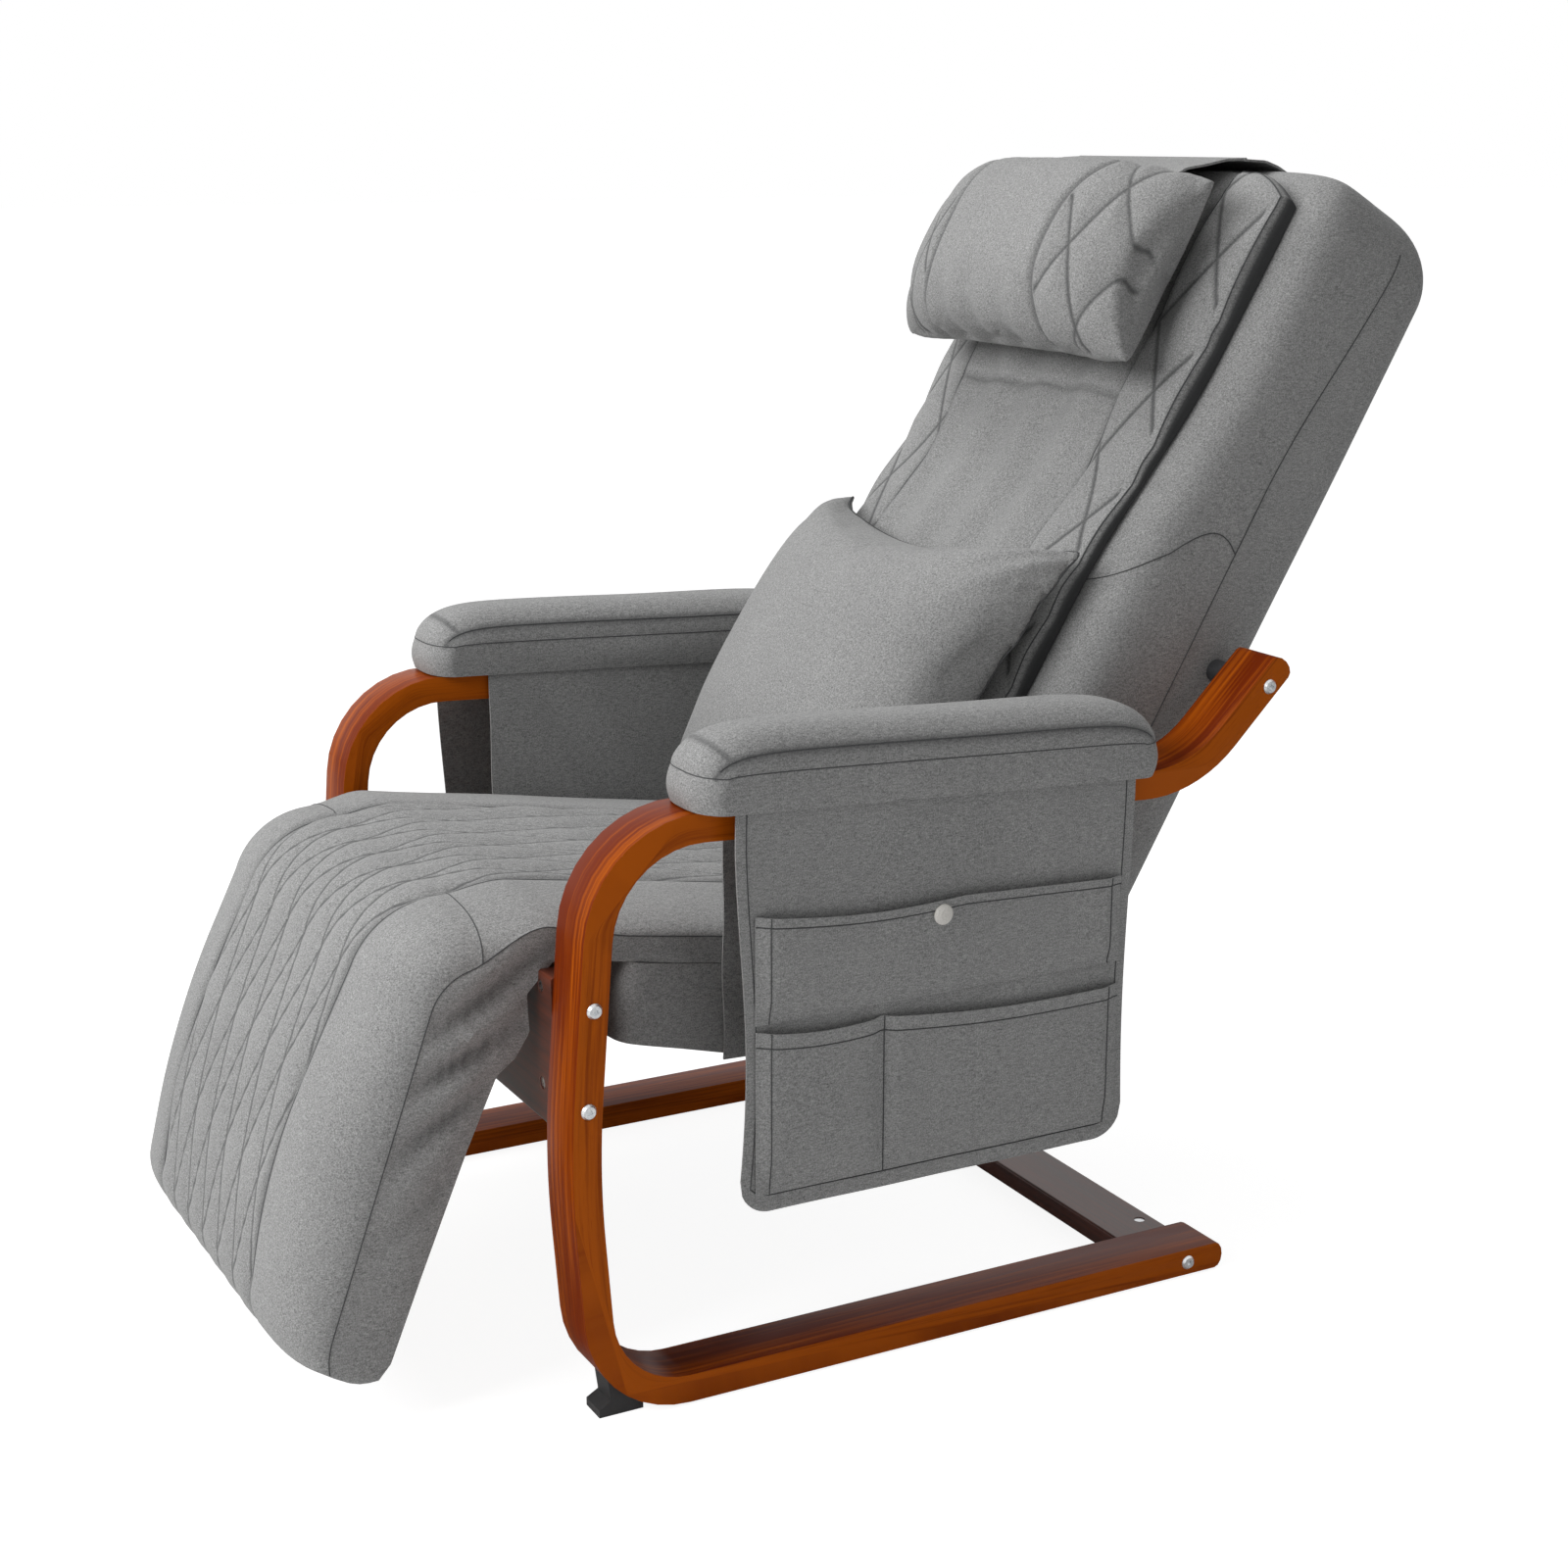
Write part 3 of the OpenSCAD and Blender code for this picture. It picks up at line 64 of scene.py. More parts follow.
class ClothSettings(bpy.types.PropertyGroup):
    pale_yarn: FloatVectorProperty(name="Pale yarn", description="Colour of the pale yarn",
        subtype="COLOR", size=3, min=0, max=1, default=(0.455, 0.455, 0.45))
    dark_yarn: FloatVectorProperty(name="Dark yarn", description="Colour of the dark yarn",
        subtype="COLOR", size=3, min=0, max=1, default=(0.088, 0.089, 0.090))
    # The seam colour is painted shade: the dark of the seams' grooves, on the cloth and on the seam cords
    thread: FloatVectorProperty(name="Seam thread", description="Colour in a seam's groove",
        subtype="COLOR", size=3, min=0, max=1, default=(0.042, 0.043, 0.044))
    yarn: FloatProperty(name="Yarn", description="Specks of yarn to a metre",
        min=200, max=1500, default=760)
    fold_depth: FloatProperty(name="Fold depth", description="Depth of a loose fold",
        subtype="DISTANCE", unit="LENGTH", min=0, max=0.01, default=0.0058)


class QuiltSettings(bpy.types.PropertyGroup):
    depth: FloatProperty(name="Quilting depth", description="Height of a diamond over its seams",
        subtype="DISTANCE", unit="LENGTH", min=0.002, max=0.01, default=0.005)
    across: FloatProperty(name="Diamond width", description="Width of a quilted diamond",
        subtype="DISTANCE", unit="LENGTH", min=0.03, max=0.09, default=0.052)
    along: FloatProperty(name="Diamond length", description="Length of a quilted diamond",
        subtype="DISTANCE", unit="LENGTH", min=0.06, max=0.3, default=0.215)
    line: FloatProperty(name="Stitch shade", description="Half width of the shade on a seam",
        min=0.01, max=0.2, default=0.068)
    half_width: FloatProperty(name="Quilted half width",
        description="Half the width of the quilted middle panel",
        subtype="DISTANCE", unit="LENGTH", min=0.12, max=0.2, default=0.156)


class WoodSettings(bpy.types.PropertyGroup):
    amber: FloatVectorProperty(name="Amber", description="Pale colour of the lacquered strip",
        subtype="COLOR", size=3, min=0, max=1, default=(0.43, 0.09, 0.003))
    russet: FloatVectorProperty(name="Russet", description="Dark colour of the lacquered strip",
        subtype="COLOR", size=3, min=0, max=1, default=(0.15, 0.018, 0.001))
    dark: FloatVectorProperty(name="Dark plank", description="Colour of the crossbars",
        subtype="COLOR", size=3, min=0, max=1, default=(0.085, 0.020, 0.009))
    edge: FloatProperty(name="Edge radius", description="Radius of the strip's eased edges",
        subtype="DISTANCE", unit="LENGTH", min=0.0005, max=0.006, default=0.0028)


class StageSettings(bpy.types.PropertyGroup):
    key: FloatProperty(name="Key light", description="Power of the soft key light",
        subtype="POWER", unit="POWER", min=5, max=400, default=112)
    fill: FloatProperty(name="Fill light", description="Power of the fill light",
        subtype="POWER", unit="POWER", min=0, max=400, default=5)
    ambient: FloatProperty(name="Ambient", description="Level of the room's light",
        min=0, max=1, default=0.27)


# ------------------------------------------------------------------ places
# Named lengths are millimetres and named angles degrees, each in its own part's frame.

JOINTS = {j["name"]: j for j in frame["joints"]}
DEPTH_MID = 72.0  # where the row frame's middle lies in the chair's own depth


def joint_place(name):
    """Depth and height of a joint, in millimetres."""
    _, y, z = JOINTS[name]["pos_m"]
    return y*1000 + DEPTH_MID, z*1000


def leaning(o, lean):
    """Takes millimetres in a leaning part's own frame to metres in the row frame."""
    c, s = math.cos(math.radians(lean)), math.sin(math.radians(lean))

    def place(p):
        p = np.asarray(p, float)
        x, y, z = p[..., 0], p[..., 1], p[..., 2]
        return np.stack([x, o[0] + y*c + z*s - DEPTH_MID, o[1] - y*s + z*c], -1)/1000
    return place


BACK_LEAN, SEAT_SLOPE, LEG_LEAN = 30.0, 9.0, 19.6
SEAT_O = (-305.37, 426.3)
in_room = leaning((0.0, 0.0), 0.0)
in_back = leaning(joint_place("back_recline"), BACK_LEAN)
in_seat = leaning(SEAT_O, SEAT_SLOPE)
in_leg = leaning(joint_place("leg_raise"), LEG_LEAN)


def plump(u, p):
    """1 in the middle of a cushion and 0 at its edges, flatter as p grows."""
    return np.maximum(0, 1 - np.abs(u)**p)**0.6


def smooth(t):
    """An eased step from 0 to 1."""
    t = np.clip(t, 0, 1)
    return t*t*(3 - 2*t)


def bump_at(d, width):
    """1 where d is 0, fading out over the width."""
    return np.exp(-(d/width)**2)


def ripple(a, b, seed):
    """Soft irregular waves from -1 to 1, quick along a and slow along b."""
    r = np.random.default_rng(seed)
    total = 0
    for k in range(5):
        f, g, ph, ps = r.uniform(0.6, 1.7), r.uniform(0.2, 0.9), *r.uniform(0, 6.28, 2)
        total = total + np.sin(a*f + ph + 0.9*np.sin(b*g + ps))/5
    return total


def diamonds(across, along):
    """0 on the quilting seams and 1 at the middle of each diamond."""
    def from_seam(w):
        return 2*np.abs(w - np.round(w))
    p = np.minimum(from_seam(across + along), from_seam(across - along))
    return 1 - (1 - np.clip(p, 0, 1))**2.4


def mark(mesh, name, values):
    """Keeps one number, or three, for each point of the mesh, for its material to read."""
    values = np.asarray(values, float)
    kind, key = ("FLOAT", "value") if values.ndim == 1 else ("FLOAT_VECTOR", "vector")
    mesh.attributes.new(name, kind, "POINT").data.foreach_set(key, values.ravel())


# ------------------------------------------------------------------ materials

def new_group(name, **inputs):
    """A group that turns a vector and its own named inputs into a finish."""
    g = bpy.data.node_groups.new(name, "ShaderNodeTree")
    for n, value in {"Vector": None, **inputs}.items():
        kind = {float: "Float", tuple: "Color"}.get(type(value), "Vector")
        s = g.interface.new_socket(n, in_out="INPUT", socket_type="NodeSocket" + kind)
        if value is not None:
            s.default_value = value
    for n, kind in (("Color", "Color"), ("Height", "Float"), ("Roughness", "Float")):
        g.interface.new_socket(n, in_out="OUTPUT", socket_type="NodeSocket" + kind)
    return g, g.nodes.new("NodeGroupInput"), g.nodes.new("NodeGroupOutput")


def add(tree, kind, values=(), **settings):
    n = tree.nodes.new(kind)
    for k, v in settings.items():
        setattr(n, k, v)
    for k, v in dict(values).items():
        n.inputs[k].default_value = v
    return n


def maths(tree, kind, *values, **settings):
    """A math node over sockets and plain numbers."""
    n = add(tree, "ShaderNodeMath", operation=kind, **settings)
    for socket, value in zip(n.inputs, values):
        if isinstance(value, float):
            socket.default_value = value
        else:
            tree.links.new(value, socket)
    return n.outputs[0]


def remap(tree, value, values=(), **settings):
    """Carries a socket's value from one range to another."""
    n = add(tree, "ShaderNodeMapRange", values, **settings)
    tree.links.new(value, n.inputs["Value"])
    return n.outputs[0]


def noise(tree, vector, values, stretch=()):
    """A noise over the vector, which is stretched first where values for that are given."""
    if stretch:
        m = add(tree, "ShaderNodeMapping", stretch)
        tree.links.new(vector, m.inputs["Vector"])
        vector = m.outputs[0]
    n = add(tree, "ShaderNodeTexNoise", values)
    tree.links.new(vector, n.inputs["Vector"])
    return n.outputs["Fac"]


def mix_colour(tree, fac, a, b):
    n = add(tree, "ShaderNodeMix", data_type="RGBA")
    for socket, value in ((n.inputs["Factor"], fac), (n.inputs[6], a), (n.inputs[7], b)):
        if isinstance(value, bpy.types.NodeSocket):
            tree.links.new(value, socket)
        else:
            socket.default_value = value if isinstance(value, float) else (*value, 1)
    return n.outputs[2]


def melange_group():
    """Grey cloth woven of pale and dark yarns, with slubs and slow patches of tone, and painted shade along its
    seams, folds and gaps.
    """
    g, i, o = new_group("melange_weave", Yarn=900.0, Dark=(0.1, 0.1, 0.1, 1),
        Pale=(0.4, 0.4, 0.4, 1), Thread=(0.05, 0.05, 0.05, 1), Line=0.06, Quilt=None,
        Groove=0.0)
    L, vector = g.links.new, i.outputs["Vector"]
    place = add(g, "ShaderNodeSeparateXYZ")
    L(i.outputs["Quilt"], place.inputs[0])
    ways = []
    for kind in ("ADD", "SUBTRACT"):
        w = maths(g, kind, place.outputs[0], place.outputs[1])
        ways.append(maths(g, "ABSOLUTE", maths(g, "SUBTRACT", w, maths(g, "ROUND", w))))
    # Painted shade along the quilting seams, where their grooves fall into shade
    seam_shade = remap(g, maths(g, "MINIMUM", *ways), {"To Min": 0.72, "To Max": 0.0},
        interpolation_type="SMOOTHSTEP")
    L(i.outputs["Line"], seam_shade.node.inputs["From Max"])
    shaded = maths(g, "MAXIMUM", maths(g, "MULTIPLY", seam_shade, place.outputs[2]),
        i.outputs["Groove"])
    fine = noise(g, vector, {"Detail": 3.0, "Roughness": 0.65})
    L(i.outputs["Yarn"], fine.node.inputs["Scale"])
    slub = noise(g, vector, {"Scale": 560.0, "Detail": 2.0},
        {"Rotation": (0.4, 0.5, 0.78), "Scale": (1.0, 0.3, 1.0)})
    tone = noise(g, vector, {"Scale": 9.0, "Detail": 2.0})
    total = maths(g, "MULTIPLY_ADD", slub, 0.4, fine)
    spread = remap(g, total, {"From Min": 0.4, "From Max": 1.0})
    shade = maths(g, "MULTIPLY_ADD", tone, 0.16, -0.08)
    fac = maths(g, "ADD", spread, shade, use_clamp=True)
    woven = mix_colour(g, fac, i.outputs["Dark"], i.outputs["Pale"])
    # The dark colour mixed in here is painted shade, on the quilting seams and on the marked seams, folds and gaps
    L(mix_colour(g, shaded, woven, i.outputs["Thread"]), o.inputs["Color"])
    L(total, o.inputs["Height"])
    L(remap(g, fac, {"To Min": 0.95, "To Max": 0.8}), o.inputs["Roughness"])
    return g


def grain_group():
    """Wood grain that runs along the vector's X, with pores and darker streaks."""
    g, i, o = new_group("wood_grain", Dark=(0.3, 0.1, 0.02, 1), Pale=(0.5, 0.2, 0.05, 1),
        Face=0.5)
    L, vector = g.links.new, i.outputs["Vector"]
    streak = noise(g, vector, {"Scale": 1.0, "Detail": 5.0, "Roughness": 0.6,
        "Distortion": 0.25}, {"Scale": (5.0, 210.0, 210.0)})
    pore = noise(g, vector, {"Scale": 1.0, "Detail": 2.0}, {"Scale": (45.0, 1300.0, 1300.0)})
    wide = noise(g, vector, {"Scale": 1.0, "Detail": 2.0}, {"Scale": (2.2, 26.0, 26.0)})
    both = maths(g, "MULTIPLY_ADD", wide, 0.8, streak)
    lean = maths(g, "MULTIPLY_ADD", i.outputs["Face"], 0.3, both)
    spread = remap(g, lean, {"From Min": 0.86, "From Max": 1.22})
    base = mix_colour(g, spread, i.outputs["Dark"], i.outputs["Pale"])
    fleck = maths(g, "MULTIPLY", remap(g, pore, {"From Min": 0.62, "From Max": 0.8}), 0.55)
    L(mix_colour(g, fleck, base, i.outputs["Dark"]), o.inputs["Color"])
    L(streak, o.inputs["Height"])
    L(remap(g, streak, {"To Min": 0.27, "To Max": 0.42}), o.inputs["Roughness"])
    return g


def speckle_group():
    """Two close tones and a fine uneven surface, for metal, plastic and paint."""
    g, i, o = new_group("fine_speckle", Scale=300.0, Dark=(0.1, 0.1, 0.1, 1),
        Pale=(0.4, 0.4, 0.4, 1), Smooth=0.3, Rough=0.5)
    L = g.links.new
    fine = noise(g, i.outputs["Vector"], {"Detail": 4.0})
    L(i.outputs["Scale"], fine.node.inputs["Scale"])
    spread = remap(g, fine, {"From Min": 0.35, "From Max": 0.65})
    L(mix_colour(g, spread, i.outputs["Dark"], i.outputs["Pale"]), o.inputs["Color"])
    L(fine, o.inputs["Height"])
    rough = remap(g, fine)
    L(i.outputs["Smooth"], rough.node.inputs["To Min"])
    L(i.outputs["Rough"], rough.node.inputs["To Max"])
    L(rough, o.inputs["Roughness"])
    return g


GROUPS = {}
MATERIALS = {}


def finish_material(name, group, values, bump, distance, shader=(), coord="Object"):
    """A Principled material whose colour, roughness and bump come from a shared group."""
    if name in MATERIALS:
        return MATERIALS[name]
    if group.__name__ not in GROUPS:
        GROUPS[group.__name__] = group()
    m = bpy.data.materials.new(name)
    m.use_nodes = True
    t = m.node_tree
    p = t.nodes["Principled BSDF"]
    for k, v in dict(shader).items():
        p.inputs[k].default_value = v
    where = add(t, "ShaderNodeTexCoord")
    g = add(t, "ShaderNodeGroup")
    g.node_tree = GROUPS[group.__name__]
    for k, v in values.items():
        g.inputs[k].default_value = (*v, 1) if hasattr(v, "__len__") else v
    t.links.new(where.outputs[coord], g.inputs["Vector"])
    t.links.new(g.outputs["Color"], p.inputs["Base Color"])
    t.links.new(g.outputs["Roughness"], p.inputs["Roughness"])
    b = add(t, "ShaderNodeBump", {"Strength": bump, "Distance": distance})
    t.links.new(g.outputs["Height"], b.inputs["Height"])
    t.links.new(b.outputs["Normal"], p.inputs["Normal"])
    MATERIALS[name] = m
    return m


def read_mark(m, group, mark_name, output, socket):
    t = m.node_tree
    g = next(n for n in t.nodes if n.type == "GROUP" and n.node_tree == GROUPS[group])
    a = add(t, "ShaderNodeAttribute", attribute_name=mark_name)
    t.links.new(a.outputs[output], g.inputs[socket])


def grey_cloth():
    if "grey_cloth" in MATERIALS:
        return MATERIALS["grey_cloth"]
    c, q = bpy.context.scene.chair_cloth, bpy.context.scene.chair_quilt
    m = finish_material("grey_cloth", melange_group,
        {"Yarn": c.yarn, "Dark": tuple(c.dark_yarn), "Pale": tuple(c.pale_yarn),
         "Thread": tuple(c.thread), "Line": q.line}, 0.5, 0.0007,
        {"Sheen Weight": 0.12, "Sheen Roughness": 0.5, "Specular IOR Level": 0.15})
    # The quilt mark places painted shade on the quilting seams; the other mark is painted shade in seams, folds
    # and gaps
    read_mark(m, "melange_group", "quilt", "Vector", "Quilt")
    read_mark(m, "melange_group", "painted_shade", "Fac", "Groove")
    return m


# Dark cords along the seams: real seam lines, coloured with the painted shade of their grooves
def seam_shade_cord():
    c = bpy.context.scene.chair_cloth
    dark = tuple(c.thread)
    return finish_material("seam_shade_cord", speckle_group,
        {"Scale": 900.0, "Dark": dark, "Pale": tuple(v*1.7 for v in dark),
         "Smooth": 0.85, "Rough": 0.95}, 0.3, 0.0004)


def lacquered_wood():
    if "lacquered_wood" in MATERIALS:
        return MATERIALS["lacquered_wood"]
    w = bpy.context.scene.chair_wood
    m = finish_material("lacquered_wood", grain_group,
        {"Dark": tuple(w.russet), "Pale": tuple(w.amber)}, 0.06, 0.0006,
        {"Coat Weight": 0.03, "Coat Roughness": 0.16, "Specular IOR Level": 0.05}, coord="UV")
    read_mark(m, "grain_group", "side_face", "Fac", "Face")
    return m


def dark_wood():
    w = bpy.context.scene.chair_wood
    d = tuple(w.dark)
    return finish_material("dark_wood", grain_group,
        {"Dark": tuple(v*0.55 for v in d), "Pale": tuple(v*1.5 for v in d)}, 0.06, 0.0006,
        {"Coat Weight": 0.15, "Coat Roughness": 0.2, "Specular IOR Level": 0.35})


HARD = {
    "zinc_steel": ({"Scale": 500.0, "Dark": (0.58, 0.60, 0.62), "Pale": (0.78, 0.79, 0.80),
        "Smooth": 0.2, "Rough": 0.38}, 0.08, {"Metallic": 1.0}),
    "dark_steel": ({"Scale": 900.0, "Dark": (0.022, 0.023, 0.025), "Pale": (0.04, 0.041, 0.044),
        "Smooth": 0.35, "Rough": 0.55}, 0.25, {"Coat Weight": 0.2}),
    "black_plastic": ({"Scale": 1100.0, "Dark": (0.012, 0.012, 0.013),
        "Pale": (0.024, 0.024, 0.025), "Smooth": 0.45, "Rough": 0.65}, 0.3, {}),
    "pale_nylon": ({"Scale": 700.0, "Dark": (0.62, 0.60, 0.56), "Pale": (0.74, 0.72, 0.68),
        "Smooth": 0.28, "Rough": 0.42}, 0.08, {}),
}


def hard_material(slot):
    if slot == "dark_wood":
        return dark_wood()
    if slot == "plywood":
        return finish_material("plywood", grain_group,
            {"Dark": (0.42, 0.26, 0.12), "Pale": (0.62, 0.45, 0.25)}, 0.15, 0.0006)
    values, bump, shader = HARD[slot]
    return finish_material(slot, speckle_group, values, bump, 0.0004, shader)


# ------------------------------------------------------------------ mesh helpers

def make(name, verts, faces, material, slot="grey_fabric", sharp=50, marks=()):
    """A new piece from points and faces, with its marks and its normals outwards."""
    mesh = bpy.data.meshes.new(name)
    mesh.from_pydata([tuple(map(float, v)) for v in np.asarray(verts).reshape(-1, 3)], [], faces)
    for key, values in dict(marks).items():
        full = np.zeros((len(mesh.vertices), *np.asarray(values).shape[1:]))
        full[:len(values)] = values
        mark(mesh, key, full)
    bm = bmesh.new()
    bm.from_mesh(mesh)
    bmesh.ops.remove_doubles(bm, verts=bm.verts, dist=1e-6)
    bmesh.ops.recalc_face_normals(bm, faces=bm.faces)
    bm.to_mesh(mesh)
    bm.free()
    obj = bpy.data.objects.new(name, mesh)
    bpy.context.scene.collection.objects.link(obj)
    mesh.materials.append(material)
    soften(obj, sharp)
    return obj


def soften(obj, sharp=50):
    for p in obj.data.polygons:
        p.use_smooth = True
    obj.data.set_sharp_from_angle(angle=math.radians(sharp))


def only(obj):
    """Selects this piece alone and makes it the active one."""
    bpy.ops.object.select_all(action="DESELECT")
    obj.select_set(True)
    bpy.context.view_layer.objects.active = obj


def apply_all(obj):
    only(obj)
    for m in list(obj.modifiers):
        bpy.ops.object.modifier_apply(modifier=m.name)


def thicken(obj, t, offset=-1.0):
    m = obj.modifiers.new("Wall", "SOLIDIFY")
    m.thickness, m.offset = t, offset
    apply_all(obj)
    soften(obj, 50)
    return obj


def strips(rows, closed=False):
    """Faces between rows of point numbers that lie side by side."""
    faces = []
    for a, b in zip(rows, rows[1:]):
        for k in range(len(a) if closed else len(a) - 1):
            q = (k + 1) % len(a)
            faces.append((a[k], a[q], b[q], b[k]))
    return faces


def grid(m, n, base=0, wrap=False):
    """Faces of m rows of n points, numbered from base."""
    return strips([range(base + i*n, base + (i + 1)*n) for i in range(m)], wrap)


def border(m, n):
    """Row and column of each point round the rim of a grid."""
    loop = [(i, 0) for i in range(m)] + [(m - 1, j) for j in range(1, n)]
    loop += [(i, n - 1) for i in range(m - 2, -1, -1)] + [(0, j) for j in range(n - 2, 0, -1)]
    return loop


def shell(front, back, rim_rows=3, bulge=0.0):
    """Closed verts and faces from a front and a back grid of one size, joined round the rim."""
    m, n = front.shape[:2]
    verts = [front.reshape(-1, 3), back.reshape(-1, 3)]
    loop = border(m, n)
    mid = front.reshape(-1, 3).mean(0)
    rows = [[i*n + j for i, j in loop]]
    base = 2*m*n
    for r in range(1, rim_rows + 1):
        t = r/(rim_rows + 1)
        pts = []
        for i, j in loop:
            p = front[i, j]*(1 - t) + back[i, j]*t
            d = p - mid
            d = d/np.linalg.norm(d)
            pts.append(p + d*bulge*math.sin(math.pi*t))
        verts.append(np.array(pts))
        rows.append(range(base, base + len(loop)))
        base += len(loop)
    rows.append([m*n + i*n + j for i, j in loop])
    return np.concatenate(verts), grid(m, n) + grid(m, n, m*n) + strips(rows, True)


def thread(points, r=0.0008, sides=6, closed=False):
    """Verts and faces of a thin round thread through the points."""
    p = np.asarray(points, float)
    nxt = np.roll(p, -1, 0) if closed else np.vstack([p[1:], 2*p[-1] - p[-2]])
    prv = np.roll(p, 1, 0) if closed else np.vstack([2*p[0] - p[1], p[:-1]])
    t = nxt - prv
    t /= np.linalg.norm(t, axis=1)[:, None]
    ref = np.cross(t[0], (0.31, 0.52, 0.79))
    verts = []
    for k in range(len(p)):
        a = ref - t[k]*np.dot(ref, t[k])
        a /= np.linalg.norm(a)
        b = np.cross(t[k], a)
        ref = a
        for s in range(sides):
            g = 2*math.pi*s/sides
            verts.append(p[k] + r*(a*math.cos(g) + b*math.sin(g)))
    rows = [range(k*sides, (k + 1)*sides) for k in range(len(p))]
    if closed:
        return np.array(verts), strips(rows + rows[:1], True)
    return np.array(verts), strips(rows, True) + [tuple(rows[0])[::-1], tuple(rows[-1])]


def seams(name, lines, r=0.0008):
    """One piece made of several threads, each (points, closed), dark with the painted shade of the seams' grooves.
    """
    verts, faces, base = [], [], 0
    for pts, closed in lines:
        v, f = thread(pts, r, closed=closed)
        verts.append(v)
        faces += [tuple(i + base for i in q) for q in f]
        base += len(v)
    return make(name, np.concatenate(verts), faces, seam_shade_cord())


def flat_size(obj, width):
    """Width and length of the cloth that a thin two-sided piece was cut from."""
    return width, sum(p.area for p in obj.data.polygons)/2/width


def mirrored(obj, name):
    """The right-hand twin of a left-hand piece, with its own mesh."""
    twin = obj.copy()
    twin.data = obj.data.copy()
    twin.name = twin.data.name = name
    bpy.context.scene.collection.objects.link(twin)
    for v in twin.data.vertices:
        v.co.x = -v.co.x
    twin.data.flip_normals()
    return twin


SWELL_FRAMES = 20


def inflate(obj, voxel, pressure, cap):
    """Swells a closed form as air-filled cloth, caps how far a point may move, and keeps it."""
    remesh = obj.modifiers.new("Even", "REMESH")
    remesh.mode, remesh.voxel_size = "VOXEL", voxel
    apply_all(obj)
    start = np.zeros(len(obj.data.vertices)*3)
    obj.data.vertices.foreach_get("co", start)
    start = start.reshape(-1, 3)
    cloth = obj.modifiers.new("Cloth", "CLOTH")
    s = cloth.settings
    s.quality = 5
    s.mass = 0.3
    s.tension_stiffness = s.compression_stiffness = 14
    s.shear_stiffness = 6
    s.bending_stiffness = 0.4
    s.use_pressure = True
    s.uniform_pressure_force = pressure
    s.effector_weights.gravity = 0
    cloth.collision_settings.use_collision = False
    cloth.point_cache.frame_start, cloth.point_cache.frame_end = 1, SWELL_FRAMES
    for f in range(1, SWELL_FRAMES + 1):
        bpy.context.scene.frame_set(f)
    got = obj.evaluated_get(bpy.context.evaluated_depsgraph_get())
    end = np.zeros(len(got.data.vertices)*3)
    got.data.vertices.foreach_get("co", end)
    move = end.reshape(-1, 3) - start
    far = np.linalg.norm(move, axis=1)[:, None]
    move *= np.minimum(1, cap/np.maximum(far, 1e-9))
    obj.modifiers.clear()
    obj.data.vertices.foreach_set("co", (start + move).ravel())
    bpy.context.scene.frame_set(1)
    finer = obj.modifiers.new("Finer", "SUBSURF")
    finer.levels = finer.render_levels = 1
    apply_all(obj)
    soften(obj, 60)
    return obj


def push(obj, depth_at):
    """Moves each point along its normal by depth_at(points in metres), in metres."""
    n = len(obj.data.vertices)
    co, no = np.zeros(n*3), np.zeros(n*3)
    obj.data.vertices.foreach_get("co", co)
    obj.data.vertices.foreach_get("normal", no)
    co = co.reshape(-1, 3) + no.reshape(-1, 3)*depth_at(co.reshape(-1, 3))[:, None]
    obj.data.vertices.foreach_set("co", co.ravel())
    obj.data.update()


def local(p, o, lean):
    """Metres in the row frame back to millimetres in a leaning part's own frame."""
    a = math.radians(lean)
    y, z = p[:, 1]*1000 + DEPTH_MID - o[0], p[:, 2]*1000 - o[1]
    return p[:, 0]*1000, y*math.cos(a) - z*math.sin(a), y*math.sin(a) + z*math.cos(a)


# ------------------------------------------------------------------ wood and hard parts

ARM_REAR, ARM_FRONT = (350, 538), (-288, 566)


def strip_path():
    """The bent strip's middle line in millimetres, for the run of its grain."""
    corners = [(454, 642), ARM_REAR, ARM_FRONT, (-313, 253), (-295, 16), (405, 16)]
    radii = [130, 102, 907, 92]
    pts = [np.array(corners[0], float)]
    for k, r in enumerate(radii, 1):
        a, b, c = (np.array(corners[k + d], float) for d in (-1, 0, 1))
        u, v = (b - a)/np.linalg.norm(b - a), (c - b)/np.linalg.norm(c - b)
        ang = math.acos(min(1, float(u @ v)))
        s = 1 if u[0]*v[1] - u[1]*v[0] > 0 else -1
        t = r*math.tan(ang/2)
        o = b - u*t + np.array([-u[1], u[0]])*s*r
        d = b - u*t - o
        for i in range(13):
            g = s*ang*i/12
            pts.append(o + np.array([d[0]*math.cos(g) - d[1]*math.sin(g),
                d[0]*math.sin(g) + d[1]*math.cos(g)]))
    pts.append(np.array(corners[-1], float))
    return np.array(pts)


def along_strip(y, z, line):
    """Run along the strip and offset from its middle line, for one point."""
    p = np.array([y, z])
    d = line[1:] - line[:-1]
    length = np.linalg.norm(d, axis=1)
    run = np.concatenate([[0], np.cumsum(length)])
    t = np.clip(((p - line[:-1])*d).sum(1)/length**2, 0, 1)
    near = line[:-1] + d*t[:, None]
    k = int(np.argmin(np.linalg.norm(p - near, axis=1)))
    off = d[k][0]*(p - near[k])[1] - d[k][1]*(p - near[k])[0]
    return run[k] + t[k]*length[k], off/length[k]


